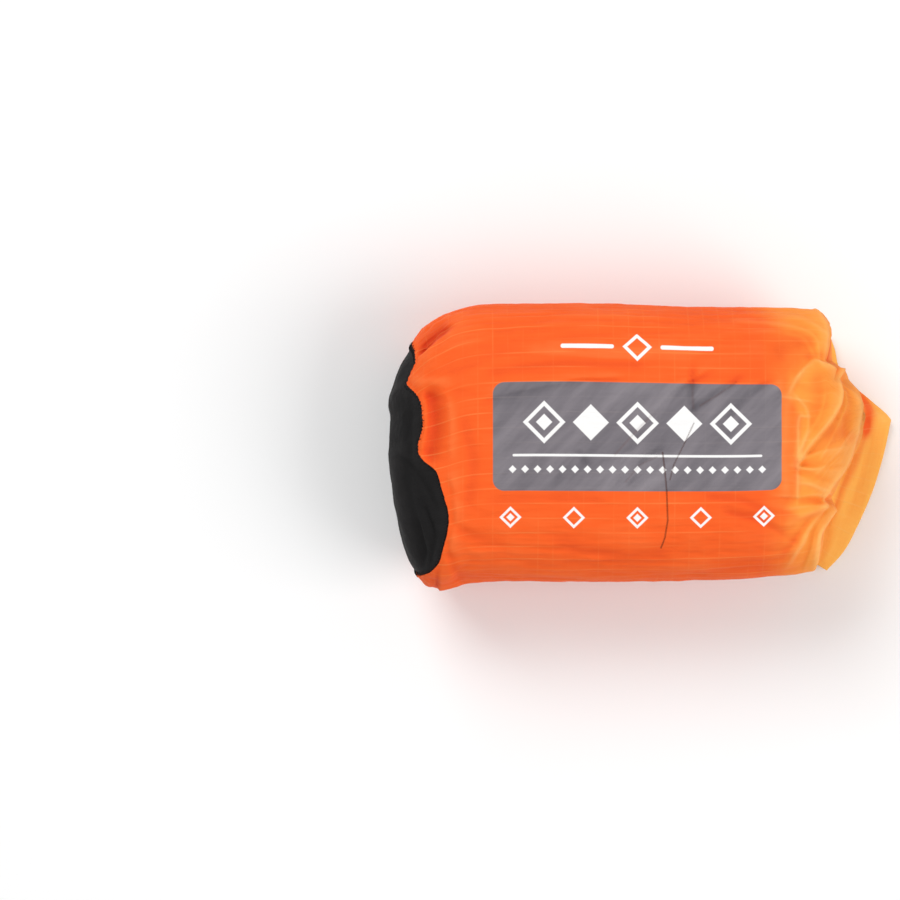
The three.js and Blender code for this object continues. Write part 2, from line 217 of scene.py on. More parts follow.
BASE_FOLDS = (
    Fold("dimple at the top base corner",
         ((-48.7, 27.3), (-50.7, 26.0), (-52.5, 24.3), (-54.2, 22.8), (-56.4, 20.9)),
         1.6, 0.6, 0.5, 4.6, 3.4, 0.6),
    Fold("tongue of cloth over the seam", ((-58, 15.8), (-54, 15.6), (-50, 15.4)), 2.4, 2.6, 0.7),
    Fold("dent behind the seam",
         ((-52.2, 11.6), (-51.6, 8.8), (-51.4, 5.2), (-51.7, 1.4), (-52.5, -1.6)),
         2.3, 1.9, -2.2, start=0.7, end=0.6),
    Fold("ridge beside the dent", ((-47.6, 10.4), (-47.0, 5.5), (-47.0, -0.9)), 1.2, 1.1, 0.5),
    Fold("swelling before the dent", ((-53.9, 10), (-53.7, 5), (-54.3, 0.6)), 0.7, 0.7, 0.5),
    Fold("crease under the tongue", ((-55, 12.8), (-51, 11.8), (-46, 10.9)), 1.2, 0.8, -0.6, end=0.2),
    Fold("tuck at the bottom base corner",
         ((-49.5, -26.5), (-49.8, -31.5), (-50.2, -37.0)), 1.4, 0.5, 0.1, 1.7, 1.7, 0.3, steep=True),
    Fold("crease beside the tuck", ((-49, -24), (-46.5, -30), (-44.8, -34)), 1.1, 0.8, -0.5),
    Fold("slack over the bottom base corner", ((-46.8, -8), (-45.8, -15), (-47.0, -23)), 1.6, 1.0, 0.5),
    Fold("slant from the base's top", ((-52, 17.6), (-44, 19.2), (-34, 23.5)), 1.4, 0.9, -0.5, end=0.3),
    Fold("slack over the top base corner",
         ((-47.5, 29.6), (-42, 29.2), (-35, 28.6)), 1.6, 2.0, 0.45, end=0.3),
    Fold("slant from the tongue", ((-52, 14.4), (-43, 13), (-36, 13.6)), 1.0, 1.2, -0.4, end=0.2),
    Fold("slant from the base's foot", ((-47, -19), (-40, -23), (-31, -25.5)), 1.2, 1.6, -0.5, end=0.3),
    Fold("slant over the base's foot", ((-46, -12), (-40, -16), (-34, -17)), 1.0, 1.2, -0.3, end=0.3),
)

MOUTH_FOLDS = (
    Fold("hollow beside the top mouth corner", ((34, 23.5), (38, 25.6), (41, 25.2)), 3.0, 2.4, -1.2),
    Fold("rim of the top corner", ((46.2, 20.8), (45.4, 26.5), (45.2, 30), (43.4, 33.6)), 1.5, 0.8, 0.6),
    Fold("slit beside the top corner",
         ((47.5, 19.8), (47.2, 22.4), (46.9, 25.4), (46.7, 28.4)), 0.7, 0.4, 0.5, 1.6, 1.0, steep=True),
    Fold("upper edge of the front pleat",
         ((50.2, 18.9), (46.4, 20.3), (43.4, 21.2), (41.1, 20.2), (38.8, 18.2)),
         1.7, 0.45, 1.0, 2.4, 2.4, 0.5, 0.3),
    Fold("crown of the front pleat",
         ((39.1, -2.9), (41.8, 0.6), (45.2, 4.5), (47.7, 8.0), (48.9, 12.9), (49.9, 18.0)),
         2.2, 0.45, 1.5, 2.2, 2.6, 0.3, 0.6),
    Fold("left edge of the front pleat",
         ((38.8, 18.2), (36.6, 14.7), (36.1, 12.1)), 0.7, 1.2, 0.45, 0.5, 1.6),
    Fold("hollow inside the front pleat", ((43.6, 15.6), (43.4, 10.4), (42.4, 5.6)), 2.2, 2.2, -1.1),
    Fold("crease across the front pleat", ((39, 14.6), (42.6, 13.6), (46.8, 14.2)), 0.8, 0.8, -0.35),
    Fold("crown of the second pleat",
         ((46.6, -12.2), (48.4, -8.9), (50.8, -4.4), (53.5, 2.1), (54.6, 7.1), (53.8, 11.6)),
         2.2, 0.9, 1.1),
    Fold("hollow inside the second pleat",
         ((43.2, -3.0), (46.6, 0.6), (50.6, 3.2), (52.2, 6.4)), 1.6, 0.9, -0.8, start=0.2),
    Fold("upper hollow of the second pleat", ((50.6, 5.6), (51.6, 9.6), (51.6, 13.6)), 1.0, 1.2, -0.7),
    Fold("first rib of the fan", ((38.8, -3.2), (43, -2.2), (48.6, -0.6)), 0.6, 0.9, 0.6),
    Fold("first crease of the fan", ((38.7, -4.2), (43, -4.5), (48.0, -4.6)), 0.6, 0.6, -0.4),
    Fold("second rib of the fan", ((39.0, -5.2), (43, -5.9), (47.4, -6.2)), 0.6, 0.8, 0.4),
    Fold("second crease of the fan", ((39.0, -6.6), (43, -7.6), (46.6, -8.4)), 0.6, 0.6, -0.45),
    Fold("third rib of the fan", ((39.0, -8.0), (42, -9.4), (45.6, -10.6)), 0.7, 0.9, 0.5),
    Fold("pucker towards the print",
         ((48.4, -13.4), (45.0, -13.5), (39.1, -13.2), (34.5, -13.0)), 1.2, 0.9, -2.1, end=0.15),
    Fold("upper rib of the lower pleat",
         ((45.2, -14.8), (41.0, -16.6), (35.9, -19.0)), 0.7, 0.9, 0.8, end=0.3),
    Fold("crease inside the lower pleat",
         ((44.6, -16.4), (40.4, -19.4), (37.6, -23.0)), 0.7, 0.9, -1.0, end=0.4),
    Fold("inner rib of the lower pleat", ((37.8, -26.2), (41.2, -19.4), (44.9, -15.2)), 0.9, 0.6, 0.8),
    Fold("hollow of the lower pleat", ((40.4, -28.0), (42.2, -22.6), (44.6, -18.6)), 1.0, 0.9, -0.9),
    Fold("crown of the lower pleat",
         ((43.0, -29.8), (43.6, -25.6), (44.7, -21.2), (46.1, -18.5), (47.4, -16.4)),
         1.2, 0.6, 1.2, 1.2, 1.6),
    Fold("end of the packed load", ((40.2, 7.4), (38.3, 7.0), (38.0, 0.0), (37.9, -11.7)), 0.7, 0.9, 0.4),
)

MOUTH_RIBS = (
    Fold("line on the front pleat's upper edge",
         ((50.0, 19.1), (46.4, 20.6), (43.4, 21.5), (41.0, 20.5), (38.7, 18.4), (36.5, 14.8)),
         0.5, 0.35, 0.42, start=0.4),
    Fold("line on the front pleat's crown",
         ((39.1, -2.7), (41.6, 0.9), (44.9, 4.8), (47.4, 8.3), (48.6, 13.1), (49.5, 17.8)), 0.5, 0.35, 0.5),
    Fold("foot of the front pleat's left edge", ((35.6, 11.9), (37.4, 11.6), (39.8, 11.2)), 0.4, 0.4, 0.4),
    Fold("inner rib of the front pleat",
         ((38.6, 11.0), (40.5, 8.6), (40.6, 4.6), (39.3, 1.2), (38.6, -2.4)), 0.5, 0.5, 0.42),
    Fold("short rib in the front pleat",
         ((38.8, -0.4), (41.0, 3.6), (43.6, 7.4), (44.4, 11.6)), 0.45, 0.45, 0.28),
    Fold("line on the second pleat's edge",
         ((46.3, -12.4), (48.0, -9.0), (50.4, -4.5), (53.0, 2.0), (54.1, 7.1), (53.4, 11.4), (50.9, 15.6)),
         0.5, 0.4, 0.5),
    Fold("slant in the second pleat",
         ((45.0, -1.0), (48.0, 4.4), (50.0, 8.6), (50.4, 12.6)), 0.4, 0.4, 0.28),
    Fold("low slant in the second pleat", ((44.0, -5.6), (47.6, -2.0), (51.0, 2.2)), 0.4, 0.4, 0.25),
    Fold("first line of the fan", ((38.7, -3.3), (41.6, -1.9), (45.6, -0.9)), 0.35, 0.45, 0.34),
    Fold("second line of the fan", ((38.7, -5.2), (42, -5.6), (46.4, -4.6)), 0.35, 0.45, 0.3),
    Fold("third line of the fan", ((38.8, -9.0), (42, -9.6), (45.6, -10.8)), 0.4, 0.45, 0.3),
    Fold("line over the pucker",
         ((46.2, -12.4), (42.6, -12.0), (38.4, -12.4), (34.6, -12.2)), 0.4, 0.4, 0.36),
    Fold("line under the pucker", ((45.8, -14.6), (41.6, -14.6), (37.2, -15.2)), 0.4, 0.4, 0.3),
    Fold("line of the lower pleat",
         ((45.4, -15.4), (42.4, -18.6), (39.8, -23.2), (37.2, -27.4)), 0.45, 0.4, 0.42),
    Fold("middle line of the lower pleat",
         ((45.0, -17.8), (43.0, -21.4), (41.4, -26.6), (40.6, -29.6)), 0.4, 0.4, 0.32),
    Fold("line on the lower pleat's crown",
         ((42.6, -30.4), (43.2, -25.7), (44.3, -21.3), (45.7, -18.6), (47.0, -16.3)), 0.45, 0.35, 0.45),
    Fold("end of the packed load, line",
         ((39.6, 7.3), (38.2, 6.8), (37.9, 0.0), (37.8, -11.6)), 0.4, 0.45, 0.4),
    Fold("upper line of the top corner",
         ((24, 31.0), (33, 30.2), (39.4, 28.9), (43.0, 26.4), (44.6, 22.0)), 0.5, 0.6, 0.3),
    Fold("middle line of the top corner",
         ((26, 28.4), (34, 28.0), (39.4, 26.6), (42.2, 23.4)), 0.45, 0.6, 0.24, start=0.3),
    Fold("outer line of the top corner",
         ((34, 32.4), (40.4, 31.2), (44.6, 28.6)), 0.45, 0.6, 0.3, start=0.3),
    Fold("line on the top corner's rim",
         ((46.6, 21.4), (45.9, 26.4), (45.6, 30), (44.0, 33.2)), 0.5, 0.4, 0.4, steep=True),
)

FACE_CREASES = (
    Fold("left slant through the print",
         ((-7.4, -2.2), (-3.5, 2.1), (0.6, 6.6)), 1.2, 0.8, 0.15, 0.75, 1.6, 0.5),
    Fold("middle slant through the print",
         ((3.6, 9.6), (8.0, 14.4), (13.6, 17.8)), 1.0, 0.7, 0.15, 0.7, 1.5),
    Fold("short slant on the print's right", ((13.4, 10.0), (17.5, 12.5), (22.0, 15.6)), 1.0, 0.7, -0.55),
    Fold("band over the print's right half", ((11.9, 17.4), (11.6, 12.6), (11.9, 9.4)), 1.0, 0.8, -0.5),
    Fold("slant by the print's right corner", ((22.3, 8.8), (25.8, 12.6), (29.4, 14.8)), 1.0, 0.7, -0.45),
    Fold("slack over the print's left corner",
         ((-37, 12.6), (-26.6, 14.9), (-17, 16.8), (-8, 17.2)), 1.3, 0.7, 0.15, 0.6, 1.5),
    Fold("long slack over the print", ((-36, 18.6), (-20, 20.4), (-2, 20)), 1.1, 1.5, -0.3),
    Fold("slack under the print's left side", ((-36, -13.5), (-24, -12.6), (-12, -13.6)), 1.6, 1.2, -0.2),
    Fold("rib above the print", ((-26, 24), (-8, 22.8), (12, 23.6)), 1.4, 1.4, 0.22),
    Fold("low fan in the print's middle", ((-3.4, -8.6), (-0.4, -4.0), (3.6, -1.2)), 0.9, 0.8, -0.45),
    Fold("second low fan in the print's middle",
         ((-6.4, -8.0), (-5.0, -4.4), (-2.6, -0.8)), 0.9, 0.8, -0.4),
    Fold("low slant in the print's left", ((-20.6, -6.6), (-17, -1.6), (-14.6, -3.6)), 0.9, 0.9, -0.4),
    Fold("slant to the lower mouth corner", ((22, -16.5), (29, -18.4), (36, -22.5)), 1.4, 0.9, -0.4),
    Fold("slant under the print's right corner", ((17, -12.6), (24, -13.4), (31, -16.4)), 1.2, 0.9, -0.3),
    Fold("rib beside the print's right end",
         ((33.6, 14), (34.8, 8), (34.2, -2), (34.8, -10)), 1.1, 1.3, 0.25),
    Fold("slack beside the lower edge", ((-20, -24), (-8, -26.6), (4, -27.2)), 1.8, 1.3, -0.25),
    Fold("slack by the base", ((-44, 5), (-42, -3), (-42.6, -12)), 1.8, 1.3, -0.25),
)


@dataclass(frozen=True)
class SharpCrease:
    """A pressed crease too thin for the mesh, along a path on the flat cloth from the middle of the face."""

    path: tuple[tuple[float, float], ...]
    width: float
    strength: float


SHARP_CREASES = (
    SharpCrease(
        ((4.4, -2.4), (5.0, -7.4), (5.4, -11.8), (5.7, -19.0), (5.1, -23.4), (4.2, -26.4)), 0.28, 1.0),
    SharpCrease(((12.0, 4.8), (9.3, -1.0), (7.1, -5.4), (6.2, -9.0)), 0.24, 0.7),
    SharpCrease(((1.6, 6.6), (-3.5, 1.2), (-7.2, -2.9)), 0.45, 0.35),
    SharpCrease(((22.4, 15.0), (17.5, 11.6), (13.6, 9.2)), 0.4, 0.35),
    SharpCrease(((11.9, 15.4), (11.7, 11.7), (12.0, 8.6)), 0.5, 0.3),
    SharpCrease(((-4.6, -9.6), (-1.2, -5.4), (3.0, -3.4)), 0.35, 0.3),
)

PANEL_FOLDS = (
    Fold("ridge to the bottom corner", ((-61.6, -3), (-60.0, -15), (-56.6, -30)), 2.4, 1.2, 0.9, 0.6, 2.2),
    Fold("trough beside the ridge", ((-58.4, -6), (-57.2, -16), (-54.6, -27)), 1.4, 1.6, -0.6),
    Fold("crease at the foot", ((-53.4, -17), (-51.6, -23), (-52.4, -29)), 0.6, 0.8, -0.8),
    Fold("second crease at the foot", ((-55.6, -20), (-54.4, -26), (-54.2, -31)), 0.6, 0.8, -0.7),
    Fold("crease by the seam", ((-56.8, 12), (-57.6, 6), (-57.2, -1)), 0.9, 1.2, -0.6),
    Fold("ridge at the tongue", ((-58.4, 15.4), (-60.2, 13.2), (-62.0, 10.4)), 1.0, 1.2, 0.7),
    Fold("facet at the top", ((-57.2, 22), (-59.2, 19.4), (-61.4, 13)), 1.0, 1.2, 0.7),
    Fold("slant under the bay", ((-58.6, -4), (-55.6, -7.4), (-52.6, -12.0)), 0.9, 0.9, -0.6),
)

FLAP_FOLDS = (
    Fold("ridge to the corner", ((54, 12), (58.6, 9.2), (63.6, 6.4)), 2.2, 1.2, 0.5),
    Fold("dent under the second pleat", ((54.6, -3), (52.6, -7.6), (50.6, -14)), 1.0, 1.6, -0.7),
    Fold("long slack of the flap", ((60.4, 2), (57.4, -7), (53.4, -16.6)), 2.0, 1.4, -0.35),
    Fold("crease at the flap's foot", ((48.6, -19), (48.0, -24), (46.8, -29)), 0.9, 1.4, -0.5),
)

# Painted shade on the mouth cloth's upper ply, where the gathered end's pleats overhang it.
FLAP_SHADES = (
    Fold("lining behind the second pleat",
         ((52.0, 17.4), (56.6, 12.4), (58.6, 9.0), (58.2, 5)), 1.5, 1.6, 1.1),
    Fold("shade beside the second pleat", ((57.6, 3), (55, -5), (51.8, -11), (50.4, -15)), 0.8, 0.9, 0.4),
    Fold("shade beside the lower pleat", ((49.4, -17.6), (47.8, -21), (47, -26)), 0.9, 1.2, 0.3),
)

BODY_SHADES = (
    Fold("shade inside the second pleat", ((46.4, 3.2), (49.4, 3.6), (51.6, 2.4)), 1.6, 2.2, 0.3),
    Fold("shade in the slit by the top corner", ((48.2, 20.6), (47.9, 24.4), (47.5, 27.8)), 0.5, 0.5, 0.9),
    Fold("shade under the front pleat's upper edge",
         ((41.4, 22.2), (45.0, 22.6), (48.4, 21.6)), 0.9, 0.9, 0.25),
    Fold("shade over the lower pleat", ((36.0, -16.6), (39.0, -17.6), (42.2, -16.6)), 0.8, 1.2, 0.3),
    Fold("shade beside the lower pleat", ((36.0, -25.0), (38.0, -22.0), (40.0, -19.6)), 1.2, 0.8, 0.3),
)


@dataclass(frozen=True)
class MouthStation:
    """A station of the folded mouth in plan: its folded edge, its upper ply's root and its lower hem."""

    edge_x: float
    edge_y: float
    root_x: float
    root_y: float
    hem_x: float
    hem_y: float


FOLDED_MOUTH = (
    MouthStation(49.2, 29.0, 43.6, 26.6, 42.2, 26.8),
    MouthStation(50.6, 24.8, 45.8, 22.6, 37.6, 22.6),
    MouthStation(51.6, 20.4, 47.4, 18.4, 35.4, 17.8),
    MouthStation(54.6, 16.2, 49.8, 13.6, 34.4, 13.0),
    MouthStation(59.8, 11.6, 51.6, 9.2, 34.0, 8.6),
    MouthStation(64.4, 7.4, 52.2, 5.6, 33.8, 5.0),
    MouthStation(64.6, 5.4, 52.2, 3.8, 33.8, 3.0),
    MouthStation(63.0, -2.4, 51.2, -1.6, 33.8, -3.6),
    MouthStation(60.4, -11.0, 48.8, -7.8, 34.0, -10.8),
    MouthStation(57.2, -18.6, 46.4, -14.2, 34.6, -17.2),
    MouthStation(53.2, -26.4, 43.8, -20.6, 35.8, -23.2),
    MouthStation(48.6, -31.7, 41.6, -27.6, 40.6, -31.2),
)


def read_smoothly(table: np.ndarray, index: np.ndarray) -> np.ndarray:
    """Reads a table's rows along a Catmull-Rom curve, with the table's ends held.

    Args:
        table: The rows, one for each whole index.
        index: The fractional indices to read at, of any shape.

    Returns:
        The rows read, with the table's columns as the last axis.
    """
    last = len(table) - 1
    at = np.clip(index, 0, last)
    low = np.minimum(at.astype(int), last - 1)
    a, b, c, d = (table[np.clip(low + step, 0, last)] for step in (-1, 0, 1, 2))
    t = (at - low)[..., None]
    bend = 2 * a - 5 * b + 4 * c - d
    twist = -a + 3 * b - 3 * c + d
    return 0.5 * (2 * b + (c - a) * t + bend * t**2 + twist * t**3)


def ramp(values: np.ndarray, start: float, reach: float) -> np.ndarray:
    """Rises from 0 at a start to 1 at a reach past it, or before it where the reach is below zero."""
    return np.clip((values - start) / reach, 0, 1)


def unevenness(points: np.ndarray, scale: float, octaves: int = 3) -> np.ndarray:
    """Gives each point a smooth chance value from -1 to 1.

    Args:
        points: The points, in millimetres, one a row.
        scale: The size of the largest lumps, in millimetres.
        octaves: How many finer layers are added.

    Returns:
        One value a point.
    """
    return np.array([noise.fractal(Vector(p) / scale, 0.6, 2.0, octaves) for p in points.reshape(-1, 3)])


class SackForm:
    """The stuffed sack's smooth form, which its solids are made from."""

    def __init__(self) -> None:
        """Turns the tables into arrays, and measures the cloth's way along the form."""
        self.sections = np.array([astuple(row) for row in SECTIONS])
        self.seam = np.array([astuple(row) for row in BASE_SEAM])
        self.lobes = np.array([astuple(row) for row in END_LOBES])[::-1]
        self.last = len(SECTIONS) - 1
        self.stations = np.linspace(0, self.last, FORM_SAMPLES)
        self.places = read_smoothly(self.sections, self.stations)[:, 0]
        lines = [self.point(self.stations, np.full_like(self.stations, turn)) for turn in (0, np.pi / 2)]
        steps = sum(np.linalg.norm(np.diff(line, axis=0), axis=1) for line in lines)
        closeness = np.interp(self.places[1:], ROW_CLOSENESS_PLACES, ROW_CLOSENESS)
        self.way = np.concatenate([[0], np.cumsum(steps * closeness)])

    def point(self, station: np.ndarray, turn: np.ndarray) -> np.ndarray:
        """Gives the points of the form.

        Args:
            station: Fractional indices into the sections.
            turn: Turns about the X axis in radians, of the same shape.

        Returns:
            The points, in millimetres.
        """
        x, top, bottom, face, back, square = np.moveaxis(read_smoothly(self.sections, station), -1, 0)
        cos, sin = np.cos(turn), np.sin(turn)
        reach = (np.abs(cos) ** square + np.abs(sin) ** square) ** (-1 / square)
        y = (top + bottom) / 2 + (top - bottom) / 2 * reach * cos
        z = (face + back) / 2 + (face - back) / 2 * reach * sin
        return np.stack([x, y, z], axis=-1)

    def normal(self, station: np.ndarray, turn: np.ndarray) -> np.ndarray:
        """Gives the form's outward directions, from two short steps on it."""
        step = 0.02
        kept = np.clip(station, step, self.last - step)
        along = self.point(kept + step / 2, turn) - self.point(kept - step / 2, turn)
        around = self.point(kept, turn + step) - self.point(kept, turn - step)
        across = np.cross(around, along)
        return across / np.linalg.norm(across, axis=-1, keepdims=True)

    def raised(self, station: np.ndarray, turn: np.ndarray, height: np.ndarray | float) -> np.ndarray:
        """Gives points at a height off the form, kept on the floor."""
        points = self.point(station, turn) + self.normal(station, turn) * np.asarray(height)[..., None]
        points[..., 2] = np.maximum(points[..., 2], 0)
        return points

    def seam_x(self, turn: np.ndarray) -> np.ndarray:
        """Gives how far along the sack the base seam lies at turns in radians."""
        degrees = np.degrees(turn) % 360
        turns, places = self.seam[:, 0], self.seam[:, 1]
        low = np.searchsorted(turns, degrees, side="right") - 1
        following = np.append(turns[1:], 360)[low]
        share = (degrees - turns[low]) / (following - turns[low])
        looped = np.concatenate([places[-1:], places, places[:2]])[:, None]
        return read_smoothly(looped, low + 1 + share)[..., 0]

    def from_seam(self, points: np.ndarray) -> np.ndarray:
        """Gives how far past the base seam each point lies, along the sack."""
        section = read_smoothly(self.sections, self.station_at(points[:, 0]))
        middle = section[:, 1:5].reshape(-1, 2, 2).mean(axis=2)
        reach = (section[:, [1, 3]] - section[:, [2, 4]]) / 2
        across, up = ((points[:, 1:] - middle) / reach).T
        return points[:, 0] - self.seam_x(np.arctan2(up, across))

    def station_at(self, x: np.ndarray) -> np.ndarray:
        """Gives the station whose section lies at each x."""
        return np.interp(x, self.places, self.stations)

    def between(self, start: np.ndarray, share: float) -> np.ndarray:
        """Gives the stations at a share of the cloth's way from a start to the last one."""
        way = np.interp(start, self.stations, self.way)
        return np.interp(way + (self.way[-1] - way) * share, self.way, self.stations)

    def lobe_reach(self, points: np.ndarray) -> np.ndarray:
        """Gives how far each point of the gathered end is shifted along the sack by its lobe."""
        reach = np.interp(points[..., 1], self.lobes[:, 0], self.lobes[:, 1])
        along = ramp(points[..., 0], LOBE_ROOT, LOBE_LENGTH)
        return reach * along * ramp(points[..., 2], LOBE_FOOT, LOBE_RISE)

    def underside(self, x: float, y: float) -> float:
        """Gives the height of the body's underside over a point in plan."""
        station = self.station_at(np.array([x]))
        _, top, bottom, face, back, square = read_smoothly(self.sections, station)[0]
        across = min(abs((2 * y - top - bottom) / (top - bottom)), 1)
        depth = (1 - across**square) ** (1 / square)
        return (face + back) / 2 - (face - back) / 2 * depth


FORM = SackForm()


def cloth_grid(name: str, points: np.ndarray, flat: np.ndarray) -> bpy.types.Object:
    """Makes a welded mesh of a grid of points, with the cloth's own flat coordinates as its UV map.

    Args:
        name: The object's name.
        points: The grid of points in millimetres, rows by columns by 3.
        flat: Where each point lies on the flat cloth in millimetres, rows by columns by 2.

    Returns:
        The object, with the points moved to the sack's middle and turned to metres.
    """
    rows, columns = points.shape[0] - 1, points.shape[1] - 1
    bm = bmesh.new()
    bmesh.ops.create_grid(bm, x_segments=columns, y_segments=rows, size=0.5)
    layer = bm.loops.layers.uv.new("cloth")
    place = {vert: (round((vert.co.y + 0.5) * rows), round((vert.co.x + 0.5) * columns)) for vert in bm.verts}
    for face in bm.faces:
        for loop in face.loops:
            loop[layer].uv = flat[place[loop.vert]] * UV_PER_MM
    for vert, (row, column) in place.items():
        vert.co = (points[row, column] + MIDDLE) * MM
    bmesh.ops.remove_doubles(bm, verts=bm.verts, dist=0.01 * MM)
    bmesh.ops.recalc_face_normals(bm, faces=bm.faces)
    return add_piece(name, bm)


def add_piece(name: str, bm: bmesh.types.BMesh) -> bpy.types.Object:
    """Turns a finished bmesh into a smooth-shaded object of the scene."""
    mesh = bpy.data.meshes.new(name)
    bm.to_mesh(mesh)
    bm.free()
    mesh.shade_smooth()
    piece = bpy.data.objects.new(name, mesh)
    bpy.context.scene.collection.objects.link(piece)
    return piece


def read_points(mesh: bpy.types.Mesh) -> np.ndarray:
    """Reads a mesh's points in millimetres from the sack's tables' zero."""
    points = np.empty(len(mesh.vertices) * 3)
    mesh.vertices.foreach_get("co", points)
    return points.reshape(-1, 3) / MM - MIDDLE


def write_points(mesh: bpy.types.Mesh, points: np.ndarray) -> None:
    """Writes a mesh's points, given in millimetres from the sack's tables' zero."""
    mesh.vertices.foreach_set("co", ((points + MIDDLE) * MM).ravel())
    mesh.update()


def read_normals(mesh: bpy.types.Mesh) -> np.ndarray:
    """Reads the outward direction at each of a mesh's points."""
    normals = np.empty(len(mesh.vertices) * 3)
    mesh.vertex_normals.foreach_get("vector", normals)
    return normals.reshape(-1, 3)


def write_values(mesh: bpy.types.Mesh, name: str, values: np.ndarray) -> None:
    """Keeps one value a point on a mesh, for its material to read."""
    mesh.attributes.new(name, "FLOAT", "POINT").data.foreach_set("value", values.astype(np.float32))


def apply_modifiers(piece: bpy.types.Object) -> None:
    """Turns a piece's modifiers into its mesh."""
    evaluated = piece.evaluated_get(bpy.context.evaluated_depsgraph_get())
    finished = bpy.data.meshes.new_from_object(evaluated)
    finished.name = piece.name
    piece.modifiers.clear()
    piece.data = finished


def smooth_piece(piece: bpy.types.Object, levels: int) -> None:
    """Subdivides a piece's mesh smoothly."""
    modifier = piece.modifiers.new("subdivision", "SUBSURF")
    modifier.levels = modifier.render_levels = levels
    modifier.use_limit_surface = False
    apply_modifiers(piece)


@dataclass
class ClothSettling:
    """A short cloth simulation that lets a filled piece swell and crumple within small limits."""

    enlargement: float = 10.0
    frames: int = 20
    pressure: float = 4.0
    slack: float = 0.045
    swelling: float = 0.15
    slip: float = 0.1
    limit: float = 1.5

    def settle(self, piece: bpy.types.Object, held: np.ndarray) -> np.ndarray:
        """Simulates an enlarged copy of a closed piece.

        Args:
            piece: The piece.
            held: How firmly each of its points is held, from 0 to 1.

        Returns:
            How far each point moved in millimetres: at most the limit, outwards at most the swelling, and
            sideways only the share that the slip gives.
        """
        mesh = piece.data.copy()
        points, normals = read_points(mesh), read_normals(mesh)
        write_points(mesh, points * self.enlargement)
        copy = bpy.data.objects.new("settling", mesh)
        bpy.context.scene.collection.objects.link(copy)
        group = copy.vertex_groups.new(name="held")
        for index, weight in enumerate(held):
            group.add([index], float(weight), "REPLACE")
        cloth = copy.modifiers.new("cloth", "CLOTH")
        cloth.settings.use_pressure = True
        cloth.settings.uniform_pressure_force = self.pressure
        cloth.settings.vertex_group_mass = "held"
        cloth.settings.shrink_min = -self.slack
        cloth.settings.bending_stiffness = 0.2
        cloth.settings.effector_weights.gravity = 0
        cloth.point_cache.frame_end = self.frames
        for number in range(1, self.frames + 1):
            bpy.context.scene.frame_set(number)
        settled = copy.evaluated_get(bpy.context.evaluated_depsgraph_get()).to_mesh()
        move = read_points(settled) / self.enlargement - points
        bpy.data.objects.remove(copy)
        bpy.data.meshes.remove(mesh)
        bpy.context.scene.frame_set(1)
        outward = (move * normals).sum(axis=1, keepdims=True)
        LOG.info("the cloth swelled %.2f mm on average, before its limits", outward.mean())
        move = (move - normals * outward) * self.slip + normals * np.minimum(outward, self.swelling)
        length = np.linalg.norm(move, axis=1, keepdims=True)
        return move * np.minimum(1, self.limit / np.maximum(length, 1e-9))


